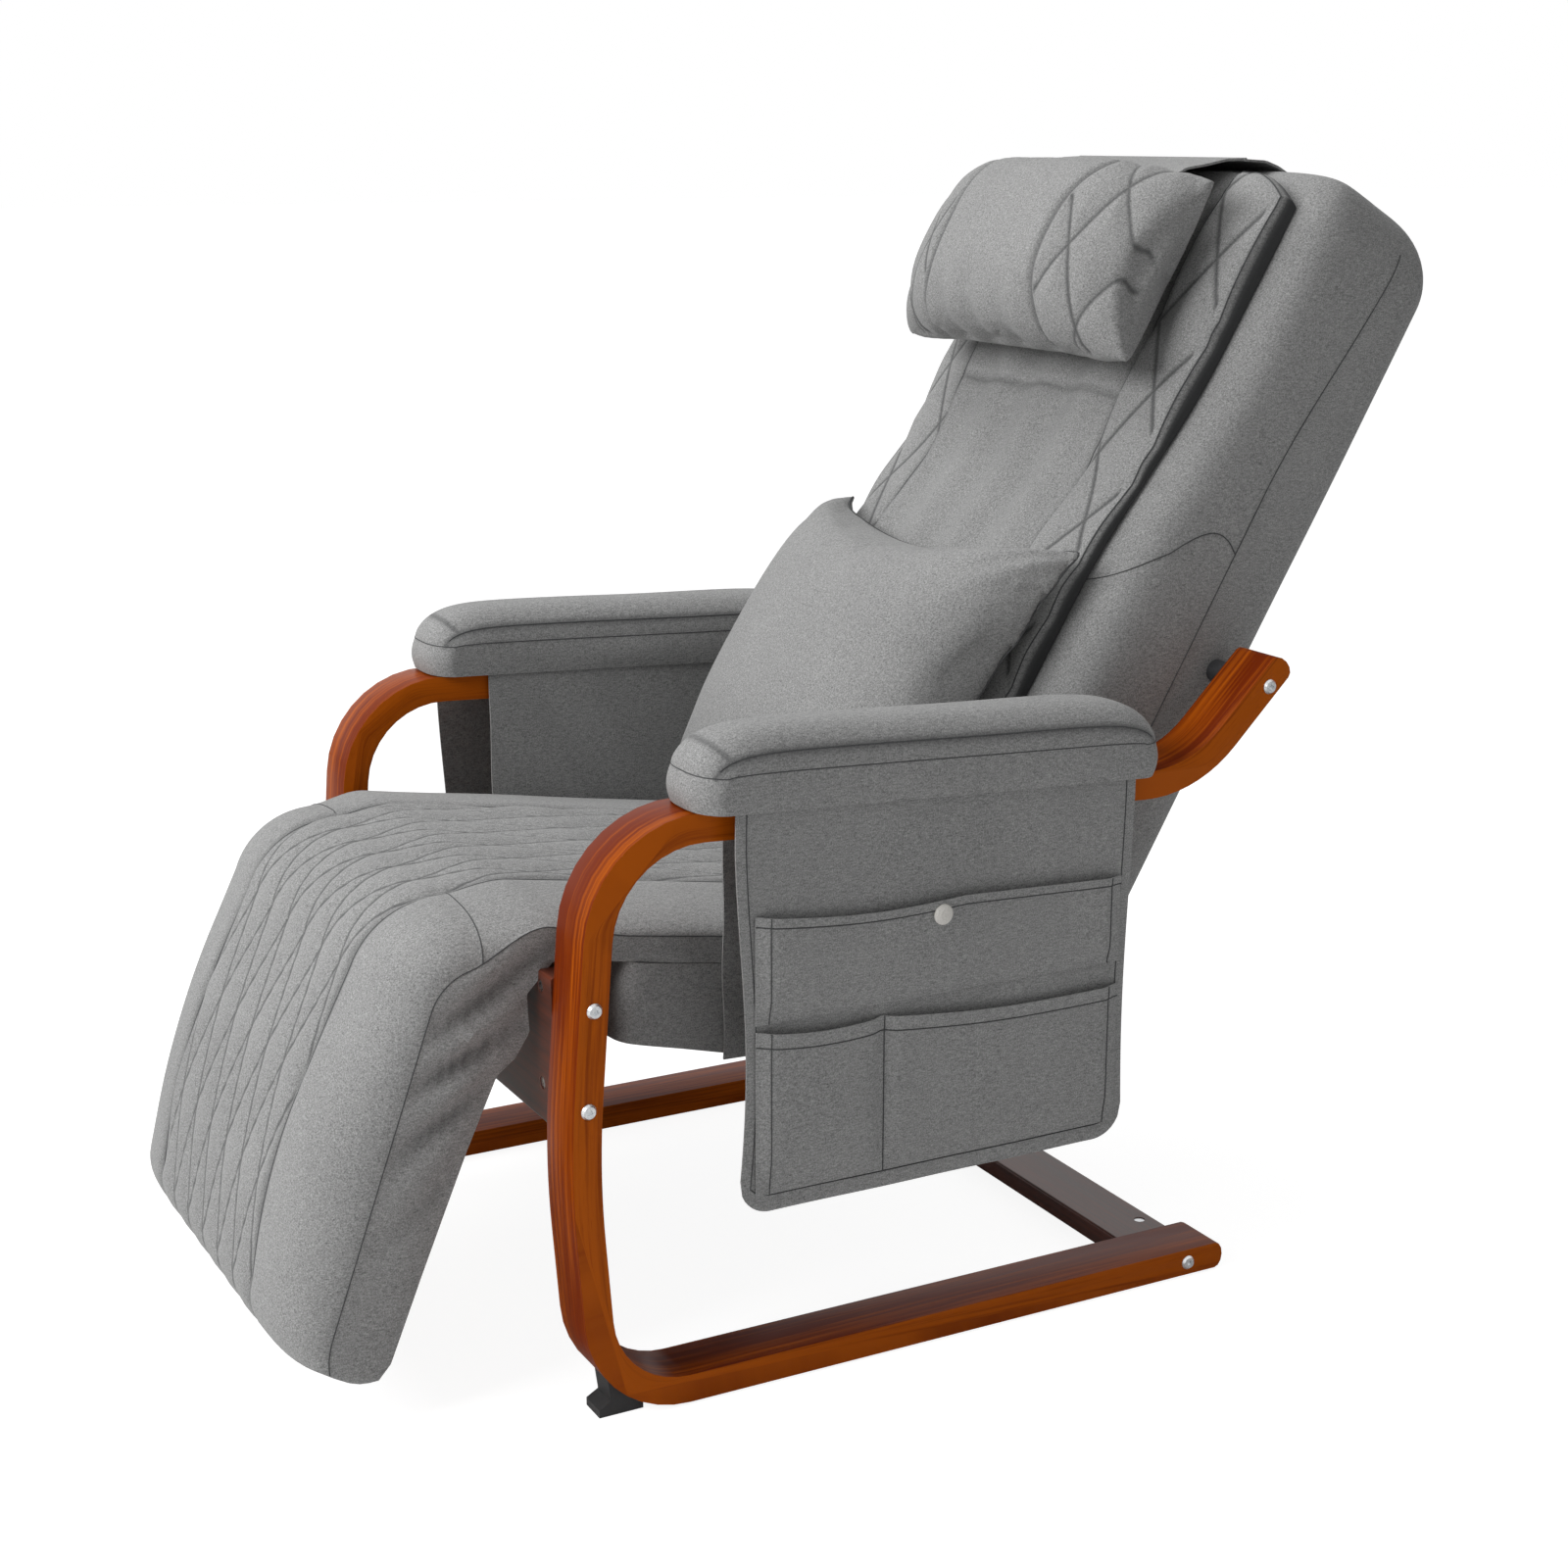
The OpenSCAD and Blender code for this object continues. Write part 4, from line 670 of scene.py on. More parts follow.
class CHAIR_OT_side_frames(bpy.types.Operator):
    """Lacquered bent side frames with eased edges and a grain that follows the bends"""
    bl_idname = "chair.side_frames"
    bl_label = "Side frames"

    def execute(self, context):
        line = strip_path()
        for side in ("left", "right"):
            cad = frame["nodes"][side + "_side_frame"]
            obj = bpy.data.objects.new(side + "_bent_frame", cad.data.copy())
            context.scene.collection.objects.link(obj)
            obj.data.materials.clear()
            obj.data.materials.append(lacquered_wood())
            only(obj)
            bpy.ops.object.mode_set(mode="EDIT")
            bpy.ops.mesh.select_all(action="SELECT")
            bpy.ops.mesh.remove_doubles(threshold=1e-5)
            bpy.ops.mesh.dissolve_limited(angle_limit=math.radians(0.4))
            bpy.ops.object.mode_set(mode="OBJECT")
            b = obj.modifiers.new("Eased edges", "BEVEL")
            b.width, b.segments = context.scene.chair_wood.edge, 3
            b.limit_method, b.angle_limit = "ANGLE", math.radians(42)
            apply_all(obj)
            only(obj)
            bpy.ops.object.shade_smooth_by_angle(angle=math.radians(32))
            apply_all(obj)
            mesh = obj.data
            while mesh.uv_layers:
                mesh.uv_layers.remove(mesh.uv_layers[0])
            uv = mesh.uv_layers.new(name="grain")
            at = [along_strip(v.co.y*1000 + DEPTH_MID, v.co.z*1000, line) for v in mesh.vertices]
            for loop in mesh.loops:
                s, off = at[loop.vertex_index]
                x = abs(mesh.vertices[loop.vertex_index].co.x)
                uv.data[loop.index].uv = (s/1000 + (0 if side == "left" else 3.7),
                    x + off/1000)
            mark(mesh, "side_face", np.abs([v.normal.x for v in mesh.vertices]))
            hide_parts(side + "_side_frame")
            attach(obj, "frame")
        return {"FINISHED"}


class CHAIR_OT_hard_parts(bpy.types.Operator):
    """Finishes of the crossbars, fasteners, feet, steel frames and massage mechanism"""
    bl_idname = "chair.hard_parts"
    bl_label = "Hard parts"

    def execute(self, context):
        for sub in frame["record"]["subparts"]:
            slot = sub["material_slot"]
            obj = frame["nodes"][sub["node"]]
            if slot == "bent_wood":
                m = lacquered_wood()
            elif slot == "grey_fabric":
                m = grey_cloth()
            else:
                m = hard_material(slot)
            if obj.material_slots:
                for s in obj.material_slots:
                    s.material = m
            else:
                obj.data.materials.append(m)
        return {"FINISHED"}


# ------------------------------------------------------------------ seat and leg rest

SEAT_REAR, SEAT_TOP, SEAT_SIDE = 447.0, 54.0, 29.0
LEG_L, ROLL_SIDE, ROLL_MID = 347.0, 34.0, 78.0
SEAT_HALF, LEG_HALF, WING = 277.0, 266.0, 251.5
LIP_RUN, LIP_A, LIP_RISE, KNEE_S = 72.0, 78.4, 12.0, (-75.5, -53.8)
FOLDS_Y, FOLDS_Z, ROLL_RUN, WING_IN = -452, 350, 106.7, 250.4
ROWS_SEAT, ROWS_ROLL, ROWS_LEG = 100, 22, 72
FOOT_LAYERS, SIDE_LAYERS = 5, 9


def roll_r(x):
    """Radius of the knee roll at x."""
    return ROLL_SIDE + (ROLL_MID - ROLL_SIDE)*plump(np.minimum(1, np.abs(x)/LEG_HALF), 8)


def cover_columns(q):
    """The cover's columns: (in, x, side) up to the wings, then (wing, share, side)."""
    mid = list(np.arange(-q*1000, q*1000 + 1, q*1000/30))
    side = list(np.linspace(q*1000, WING_IN, 17))[1:]
    out = [("in", x) for x in mid] + [("in", x) for x in side] + [("wing", w)
        for w in (0.0, 0.15, 0.35, 0.6, 0.8, 0.93, 1.0)]
    left = [(k, -x if k == "in" else x) for k, x in out[len(mid):]]
    return [(k, x, -1) for k, x in reversed(left)] + [(k, x, 1) for k, x in out]


def resample(points, n):
    """The line through the points as n points at even distances."""
    p = np.asarray(points, float)
    run = np.concatenate([[0], np.cumsum(np.linalg.norm(p[1:] - p[:-1], axis=1))])
    t = np.linspace(0, run[-1], n)
    return np.stack([np.interp(t, run, p[:, k]) for k in range(p.shape[1])], 1)


def quilt_lift(x, along, quilt):
    """How far the quilting stands over or under the plain cover, in millimetres."""
    inside = smooth((quilt.half_width*1000 - np.abs(x) + 2)/4)
    border = np.abs(np.abs(x) - quilt.half_width*1000)
    puffs = quilt.depth*1000*(diamonds(x/quilt.across/1000, along/quilt.along/1000) - 0.55)
    return inside*puffs - 3.6*bump_at(border, 6)


def quilt_place(x, k, quilt):
    """Where a point of the cover's top lies in the quilting, for the painted shade along its seams."""
    if k < ROWS_SEAT:
        along = (SEAT_REAR - KNEE_S[0])*(k/ROWS_SEAT - 1)
    elif k < ROWS_SEAT + ROWS_ROLL:
        along = ROLL_RUN*(k - ROWS_SEAT)/ROWS_ROLL
    else:
        along = ROLL_RUN + LEG_L*(k - ROWS_SEAT - ROWS_ROLL)/ROWS_LEG
    inside = float(abs(x) < quilt.half_width*1000 - 0.5)
    return x/quilt.across/1000, along/quilt.along/1000, inside


def cover_point(x, k, quilt):
    """A point of the cover's top in row k: on the seat, on the knee roll or on the leg rest."""
    r = roll_r(x)
    if k < ROWS_SEAT:
        v = k/ROWS_SEAT
        y0 = KNEE_S[0]
        y = SEAT_REAR + (y0 - SEAT_REAR)*v
        high = SEAT_SIDE + (SEAT_TOP - SEAT_SIDE)*plump(x/SEAT_HALF, 5)
        lip = KNEE_S[1] + r + LIP_RISE
        run = np.clip((y - y0)/LIP_RUN, 0, 1)
        z = lip + (high - lip)*(smooth(run) + math.sin(math.pi/2*run))/2
        z += 1.2*ripple(y/40, x/90, 3)*plump(x/SEAT_HALF, 6)
        z -= 5*smooth((y - (SEAT_REAR - 14))/14)
        along = -(y - y0)
        return in_seat((x, y, z + quilt_lift(x, along, quilt)))
    if k < ROWS_SEAT + ROWS_ROLL:
        t = (k - ROWS_SEAT)/ROWS_ROLL
        a = math.radians(LIP_A*(1 - t))
        along = ROLL_RUN*t
        rr = r + LIP_RISE*(1 - t)**2 + quilt_lift(x, along, quilt)*plump(x/LEG_HALF, 8)
        return in_leg((x, -rr*math.cos(a), rr*math.sin(a)))
    a = LEG_L*(k - ROWS_SEAT - ROWS_ROLL)/ROWS_LEG
    t, p = a/LEG_L, plump(x/LEG_HALF, 6)
    low = math.sqrt(max(0, 1 - ((t - 0.9)/0.13)**2)) if t > 0.9 else 1
    y = (r + p*18*math.sin(math.pi*min(1, t)))*(0.4 + 0.6*low)
    y += quilt_lift(x, ROLL_RUN + a, quilt)*p*(1 - 0.6*smooth((t - 0.88)/0.12))
    y += 1.4*ripple(a/34, x/70, 8)*p
    return in_leg((x, -y, -a))


def underside(x, wing):
    """The cover's underside, one point for each row: rim or board, knee, and leg rear."""
    r = float(roll_r(x))
    n1, n2, n3 = ROWS_SEAT, ROWS_ROLL, ROWS_LEG + 1
    if wing:
        seat = [(SEAT_REAR, 3), (40, 3), (4, 1)]
        knee = [in_seat_to_leg(4, 1), (52, 34), (66, 0), (60, -26)]
        leg = [(60, -26), (47, -46), (40, -121), (33, -243), (29, -330), (22, -LEG_L)]
    else:
        rin = r - 20
        seat = [(SEAT_REAR, 26.4), (3.6, 26.4), (3.4, 20), (-34, 13)]
        arc = [(-rin*math.cos(math.radians(g)), rin*math.sin(math.radians(g)))
            for g in (84, 70, 50, 30, 12, 0)]
        knee = [in_seat_to_leg(-34, 13)] + arc
        leg = [(-rin, 0), (-rin, -40), (-rin*0.5, -40), (5.6, -40), (5.6, -333.2),
            (14, -333.6), (22, -LEG_L)]
    out = [in_seat((x, y, z)) for y, z in resample(seat, n1 + 1)[:-1]]
    out += [in_leg((x, y, z)) for y, z in resample(knee, n2 + 1)[:-1]]
    out += [in_leg((x, y, z)) for y, z in resample(leg, n3)]
    return np.array(out)


def in_seat_to_leg(y, z):
    """A place in the seat's frame, told in the leg rest's."""
    p = in_seat((0.0, y, z))[None, :]
    _, ly, lz = local(p, joint_place("leg_raise"), LEG_LEAN)
    return float(ly[0]), float(lz[0])


def half_width(k):
    """Half the cover's width in row k, from the seat's to the leg rest's."""
    t = smooth((k - ROWS_SEAT*0.72)/(ROWS_SEAT*0.28))
    return SEAT_HALF + (LEG_HALF - SEAT_HALF)*t


class CHAIR_OT_seat_cover(bpy.types.Operator):
    """One quilted cover over the seat, its knee roll and the leg rest"""
    bl_idname = "chair.seat_cover"
    bl_label = "Seat and leg cover"

    def execute(self, context):
        quilt = context.scene.chair_quilt
        columns = cover_columns(quilt.half_width)
        rows = ROWS_SEAT + ROWS_ROLL + ROWS_LEG + 1
        top, low, seam_shade, painted_shade = [], [], [], []
        edge = quilt.half_width*1000
        for kind, value, sign in columns:
            xs = [value if kind == "in" else
                sign*(WING + (half_width(k) - WING)*value) for k in range(rows)]
            top.append([cover_point(xs[k], k, quilt) for k in range(rows)])
            seam_shade += [quilt_place(xs[k], k, quilt) for k in range(rows)]
            # Painted shade along the seam at the quilted panel's border
            painted_shade += [0.55*bump_at(abs(xs[k]) - edge, 4.5) for k in range(rows)]
            under = underside(xs[0], kind == "wing")
            under[:, 0] = np.array(xs)/1000
            low.append(under)
        top, low = np.array(top), np.array(low)
        m, n = top.shape[:2]
        shades = [np.array(painted_shade), np.zeros(m*n)]
        verts = [top.reshape(-1, 3), low.reshape(-1, 3)]
        faces = grid(m, n) + grid(m, n, m*n)
        faces += strips([range(0, m*n, n), range(m*n, 2*m*n, n)])
        base = 2*m*n
        foot = [range(n - 1, m*n, n)]
        for s in range(1, FOOT_LAYERS):
            t = s/FOOT_LAYERS
            row = top[:, -1]*(1 - t) + low[:, -1]*t
            row[:, 2] -= 0.006*math.sin(math.pi*t)
            verts.append(row)
            shades.append(np.zeros(m))
            foot.append(range(base, base + m))
            base += m
        foot.append(range(m*n + n - 1, 2*m*n, n))
        faces += strips(foot)
        for i, sign in ((0, -1), (m - 1, 1)):
            layers = [range(i*n, (i + 1)*n)]
            for d in range(1, SIDE_LAYERS):
                t = d/SIDE_LAYERS
                pts = top[i]*(1 - t) + low[i]*t
                y, z = pts[:, 1]*1000, pts[:, 2]*1000
                near = bump_at(np.hypot(y - FOLDS_Y, (z - FOLDS_Z)*0.72), 112)
                puff = math.sin(math.pi*t)
                folds = np.sin((y*0.55 - z)/8.5 + 1.2*np.sin(z/37))
                fold = context.scene.chair_cloth.fold_depth*(near*folds
                    + 0.35*ripple(y/26, z/40, 21))
                pts[:, 0] += sign*puff*(0.0022 + fold)
                verts.append(pts)
                # Painted shade in the hollows of the side folds
                shades.append(0.85*near*puff*np.clip(-folds - 0.2, 0, 1))
                layers.append(range(base, base + n))
                base += n
            layers.append(range(m*n + i*n, m*n + (i + 1)*n))
            faces += strips(layers)
            faces.append(tuple(layer[0] for layer in layers))
            faces.append((*[layer[-1] for layer in layers][::-1], *[row[i] for row in foot[1:-1]]))
        cover = make("seat_and_leg_cover", np.concatenate(verts), faces, grey_cloth(),
            marks={"quilt": seam_shade, "painted_shade": np.concatenate(shades)})
        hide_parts("seat_cushion", "leg_pad")
        lines = []
        for rim, sign in ((0, -1), (-1, 1)):
            lines.append((top[rim][2:], False))
            j = int(np.argmin([abs(value - sign*edge) if kind == "in" else 1e9
                for kind, value, _ in columns]))
            lines.append((top[j][::2], False))
            across = [i for i, (kind, value, way) in enumerate(columns) if way*sign > 0
                and (kind == "wing" or (abs(value) >= edge - 1 and value*sign > 0))]
            lines.append((top[across, ROWS_SEAT - 2], False))
        trim = seams("seat_seams", lines, 0.0006)
        for piece in (cover, trim):
            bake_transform(piece)
        return {"FINISHED"}


class CHAIR_OT_seat_skirt(bpy.types.Operator):
    """Loose side skirt that hangs from the seat's rim"""
    bl_idname = "chair.seat_skirt"
    bl_label = "Seat skirt"

    def execute(self, context):
        w, y0, y1, r = 278.0, 74.0, 447.0, 16.0
        ring = []
        for cx, cy, first in ((w, y0, -90), (w, y1, 0), (-w, y1, 90), (-w, y0, 180)):
            sx, sy = (1 if cx > 0 else -1), (1 if cy == y1 else -1)
            for g in np.linspace(first, first + 90, 7):
                ring.append((cx - sx*r + r*math.cos(math.radians(g)),
                    cy - sy*r + r*math.sin(math.radians(g))))
        ring = resample(ring + [ring[0]], 320)[:-1]
        d = np.roll(ring, -1, 0) - np.roll(ring, 1, 0)
        out = np.stack([d[:, 1], -d[:, 0]], 1)/np.linalg.norm(d, axis=1)[:, None]
        run = np.arange(len(ring))*5.0
        verts = []
        for h in np.linspace(0, 1, 20):
            for (x, y), o, s in zip(ring, out, run):
                low = -74 - (y - y0)*0.102
                high = 2.8 if abs(x) > w - 15 else -1.2
                fold = 1.3*h*float(ripple(s/16, h*2, 31))
                verts.append(in_seat((x + o[0]*fold, y + o[1]*fold, high + (low - high)*h)))
        obj = make("seat_side_skirt", verts, grid(20, len(ring), wrap=True), grey_cloth())
        thicken(obj, 0.0025)
        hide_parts("seat_skirt")
        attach(obj, "seat")
        return {"FINISHED"}


# ------------------------------------------------------------------ back

BACK_DOWN, BACK_UP, BACK_REAR = 330.0, 505.0, 60.0
BACK_FRONT, BACK_HALF, TOP_ROUND = 166.0, 270, 70


def front_at(a):
    """How far the back's padding stands out at height a, softly blended between its levels."""
    levels, shares = [-BACK_DOWN, 50.5, 242.4, 404, BACK_UP], [1, 1, 0.86, 0.87, 0.9]
    near = [np.interp(np.asarray(a, float) + d, levels, shares) for d in (-36, -18, 0, 18, 36)]
    return BACK_FRONT*sum(near)/5


def cover_ring(a, drop, n):
    """The cover's outline at height a, and the depth of its middle."""
    w, f, r = BACK_HALF - drop*0.6, float(front_at(a)) - drop/2, BACK_REAR - drop
    o, h = (r - f)/2, (r + f)/2
    g = np.linspace(0, 2*math.pi, 1441)
    c, s = np.cos(g), np.sin(g)
    pts = np.stack([w*np.sign(c)*np.abs(c)**(1/3), o + h*np.sign(s)*np.abs(s)**(1/3)], 1)
    return resample(pts, n + 1)[:-1], o


def cover_front(a, x):
    """How far the cover's front stands out at height a and width x."""
    f = front_at(a)
    h = (BACK_REAR + f)/2
    return (f - BACK_REAR)/2 + h*np.maximum(0, 1 - (np.abs(x)/BACK_HALF)**6)**(1/6)


def side_x(ring, y, sign):
    """Where the outline's left or right side stands at depth y."""
    side = ring[ring[:, 0]*sign > 100]
    side = side[np.argsort(side[:, 1])]
    return float(np.interp(y, side[:, 1], side[:, 0]))


class CHAIR_OT_back_cover(bpy.types.Operator):
    """Padded sleeve over the back's frame, with its side seams"""
    bl_idname = "chair.back_cover"
    bl_label = "Back cover"

    def execute(self, context):
        n, verts, rings = 264, [], []
        levels = [(a, 0.0) for a in np.linspace(-BACK_DOWN, BACK_UP - TOP_ROUND, 130)]
        levels += [(BACK_UP - TOP_ROUND*(1 - math.sin(g)), TOP_ROUND*(1 - math.cos(g)))
            for g in np.radians(np.linspace(4, 84, 18))]
        for a, drop in levels:
            ring, mid = cover_ring(a, drop, n)
            s = np.arange(n)*6.0
            low = smooth((-170 - a)/150)
            fold = 1.1*ripple(s/55, a/60, 41) + 1.6*low*ripple(s/22, a/30, 43)
            d = ring - np.array([0, mid])
            d /= np.linalg.norm(d, axis=1)[:, None]
            ring = ring + d*fold[:, None]
            rings.append((ring, a))
            verts += [(x, y, a) for x, y in ring]
        count = len(levels)
        ring, a = rings[-1]
        centre = ring.mean(0)
        for s in (0.94, 0.84, 0.7, 0.54, 0.38, 0.22, 0.08):
            verts += [(*(centre + (p - centre)*s), a + 4*(1 - s*s)) for p in ring]
            count += 1
        faces = grid(count, n, wrap=True)
        faces.append(tuple((count - 1)*n + j for j in range(n)))
        cover = make("back_padded_cover", in_back(np.array(verts)), faces, grey_cloth())
        thicken(cover, 0.008)
        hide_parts("back_cover")
        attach(cover, "back")
        lines = []
        for sign in (-1, 1):
            line, bow = [], []
            for ring, a in rings[:-12]:
                y = -44 + 26*float(smooth((a - 180)/300))
                line.append((side_x(ring, y, sign) + sign*0.3, y, a))
            for t in np.linspace(0, 1, 30):
                y = -44 - 118*t
                a = 112 + 14*math.sin(math.pi*min(1, 1.6*t)) - 96*t**2.2
                near = rings[int(np.argmin([abs(r[1] - a) for r in rings]))][0]
                bow.append((side_x(near, y, sign) + sign*0.5, y, a))
            lines += [(in_back(np.array(line)), False), (in_back(np.array(bow)), False)]
        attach(seams("back_seams", lines, 0.0006), "back")
        return {"FINISHED"}


OVERLAY_TOP, OVERLAY_LOW, OVERLAY_T, OVERLAY_HALF = 477.0, -314.0, 38.0, 232
BORDER, DIAMOND_W, DIAMOND_H, HEM_A = 0.65, 78, 150, 211


class CHAIR_OT_overlay(bpy.types.Operator):
    """Overlay pad with quilted borders, a plain middle and a welt round its edge"""
    bl_idname = "chair.overlay"
    bl_label = "Overlay pad"

    def execute(self, context):
        us, vs = np.sin(np.linspace(-1, 1, 97)*math.pi/2), np.linspace(-1, 1, 165)
        u, v = np.meshgrid(us, vs, indexing="ij")
        corner = np.maximum(0, (np.abs(u) - 0.72)/0.28)**2.2*24
        x = u*(OVERLAY_HALF*(1 - 0.05*(1 - v)))
        a = OVERLAY_LOW + (OVERLAY_TOP - OVERLAY_LOW)*(v + 1)/2
        a = a - corner*smooth((v - 0.6)/0.4)
        back = cover_front(a, x) + 0.6
        crown = 0.5 + 0.5*plump(u, 5)*plump(v, 10)
        edge = smooth((np.abs(u) - 0.64)/0.03)
        q = context.scene.chair_quilt.depth*1000
        quilt = edge*q*(diamonds(x/DIAMOND_W, a/DIAMOND_H) - 0.6)
        hem = a - HEM_A - 3*np.sin(x/60)
        waist = 1 - 0.5*bump_at(a - 110, 88)
        from_seam = (np.abs(u) - BORDER)*OVERLAY_HALF
        seam = -3.4*bump_at(from_seam, 5) - 2.4*(1 - edge)*bump_at(hem, 6)
        plain = (1 - edge)*(4.6*np.sin(x/13 + 0.6*np.sin(a/90))*plump(v, 4)
            + 1.6*ripple(x/30, a/120, 51))
        out = np.maximum(back + OVERLAY_T/4,
            front_at(a) + OVERLAY_T*crown*waist + quilt + seam + plain)
        front = in_back(np.stack([x, -out, a], -1))
        rear = in_back(np.stack([x, -back, a], -1))
        seam_shade = np.stack([x/DIAMOND_W, a/DIAMOND_H,
            (np.abs(u) > 0.66)*(np.abs(u) < 0.97)*1.0], -1)
        # Painted shade along the border seams and the hem of the plain middle
        painted_shade = 0.6*np.maximum(bump_at(from_seam, 4), 0.8*(1 - edge)*bump_at(hem, 3.5))
        # The back and the rim rows get painted shade too: a dark band of shade in the gap under the pad's edge
        pad = make("quilted_overlay", *shell(front, rear, 4, 0.003), grey_cloth(),
            marks={"quilt": seam_shade.reshape(-1, 3),
                "painted_shade": np.concatenate([painted_shade.ravel(), np.ones(painted_shade.size),
                    np.repeat((0.15, 0.9, 1.0, 1.0), 2*sum(painted_shade.shape) - 4)])})
        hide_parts("overlay_pad")
        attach(pad, "back")
        lines = [(np.array([front[i, j] for i, j in border(*u.shape)]), True)]
        for sign in (-1, 1):
            i = int(np.argmin(np.abs(us - sign*BORDER)))
            lines.append((front[i, 2:-2], False))
        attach(seams("overlay_seams", lines, 0.0008), "back")
        return {"FINISHED"}


PILLOW_H, PILLOW_T, PILLOW_HALF = 218, 112, 214
PILLOW_MID = OVERLAY_TOP - PILLOW_H/2 - 50
PILLOW_B = float(front_at(PILLOW_MID)) + OVERLAY_T + PILLOW_T*0.3 + 12
HINGE = (-(149.4 + 15.2), 492.33)


class CHAIR_OT_head_pillow(bpy.types.Operator):
    """Head pillow with quilted ends, and the flap that carries it over the back"""
    bl_idname = "chair.head_pillow"
    bl_label = "Head pillow"

    def execute(self, context):
        us, vs = np.sin(np.linspace(-1, 1, 61)*math.pi/2), np.sin(np.linspace(-1, 1, 41)*math.pi/2)
        u, v = np.meshgrid(us, vs, indexing="ij")
        fat = plump(u, 3.4)*plump(v, 2.8)
        x = u*PILLOW_HALF*(1 - 0.05*(1 - v*v))
        a = PILLOW_MID + 13 + v*112*(0.92 + 0.08*plump(u, 4))
        front = in_back(np.stack([x, -(PILLOW_B + PILLOW_T*0.74*fat + 2), a], -1))
        rear = in_back(np.stack([x, -(PILLOW_B - PILLOW_T*0.28*fat - 2), a], -1))
        pillow = make("quilted_head_pillow", *shell(front, rear, 1), grey_cloth())
        inflate(pillow, 0.005, 4.0, 0.012)
        pivot = joint_place("back_recline")

        def sewn(p):
            x, y, a = local(p, pivot, BACK_LEAN)
            front_side = smooth((-(y + PILLOW_B) - 6)/10)
            edge = panel_edge(a)
            ends = smooth((np.abs(x) - edge - 4)/8)
            quilt = ends*4.6*(diamonds(*bent(x, a)) - 0.7)
            seam = -3.4*bump_at(np.abs(x) - edge, 4.5)
            tucks = 3.2*np.sin(x/9 + 0.6*np.sin(a/20))*smooth((PILLOW_MID - 30 - a)/50)
            return front_side*(quilt + seam + tucks*(1 - ends))/1000

        def panel_edge(a):
            return 96 + 16*((a - PILLOW_MID)/(PILLOW_H/2))**2

        def bent(x, a):
            h = (a - PILLOW_MID)/150
            return (np.abs(x) + 26*h*h)/66, h
        push(pillow, sewn)
        points = np.array([v.co for v in pillow.data.vertices])
        x, y, a = local(points, pivot, BACK_LEAN)
        front_side = smooth((-(y + PILLOW_B) - 6)/10)
        edge = panel_edge(a)
        mark(pillow.data, "quilt", np.stack([*bent(x, a),
            front_side*(np.abs(x) > edge + 5)*(np.abs(x) < 204)], -1))
        # Painted shade along the seams at the edges of the quilted ends, on the front side only
        mark(pillow.data, "painted_shade", 0.6*front_side*bump_at(np.abs(x) - edge, 3.5))
        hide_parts("head_pillow")
        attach(pillow, "pillow")

        self.cloth("pillow_flap_cloth", [(-PILLOW_B - 8, PILLOW_MID + 115),
            (-PILLOW_B + 3, PILLOW_MID + 130), (-206, 462), (-185, 480),
            (HINGE[0] - 0.6, HINGE[1])], "pillow_flap", "pillow", ["quilted_head_pillow"])
        v, f = thread(in_back(np.array([(x, *HINGE) for x in np.linspace(-150, 150, 25)])),
            0.002, 12)
        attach(make("pillow_flap_cord", v, f, grey_cloth()), "pillow")
        self.cloth("pillow_flap_hem", [(HINGE[0] + 2.3, HINGE[1] + 0.5), (-140, 504),
            (-122, 507.4), (-70, 508), (-15, 507.6)], "flap_tab", "back", ["back_padded_cover"])
        return {"FINISHED"}

    def cloth(self, name, key, node, body, rests):
        line = resample(key, 34)
        xs = np.linspace(-149, 149, 61)
        d = np.gradient(line, axis=0)
        out = np.stack([-d[:, 1], d[:, 0]], 1)/np.linalg.norm(d, axis=1)[:, None]
        verts = []
        for i, p in enumerate(line):
            calm = math.sin(math.pi*i/(len(line) - 1))
            for x in xs:
                lift = 0.9*calm*float(ripple(x/24, i/9, 61))
                y, z = p + out[i]*lift
                verts.append((x, y, z))
        obj = make(name, in_back(np.array(verts)), grid(len(line), len(xs)), grey_cloth())
        thicken(obj, 0.0024, 0.0)
        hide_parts(node)
        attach(obj, body)


CUSHION_X, CUSHION_MID = 12, -BACK_DOWN + 200 - 26
CUSHION_W, CUSHION_H, CUSHION_T = 236, 198, 100
CUSHION_B = BACK_FRONT + OVERLAY_T + 108*0.16 - 0.75


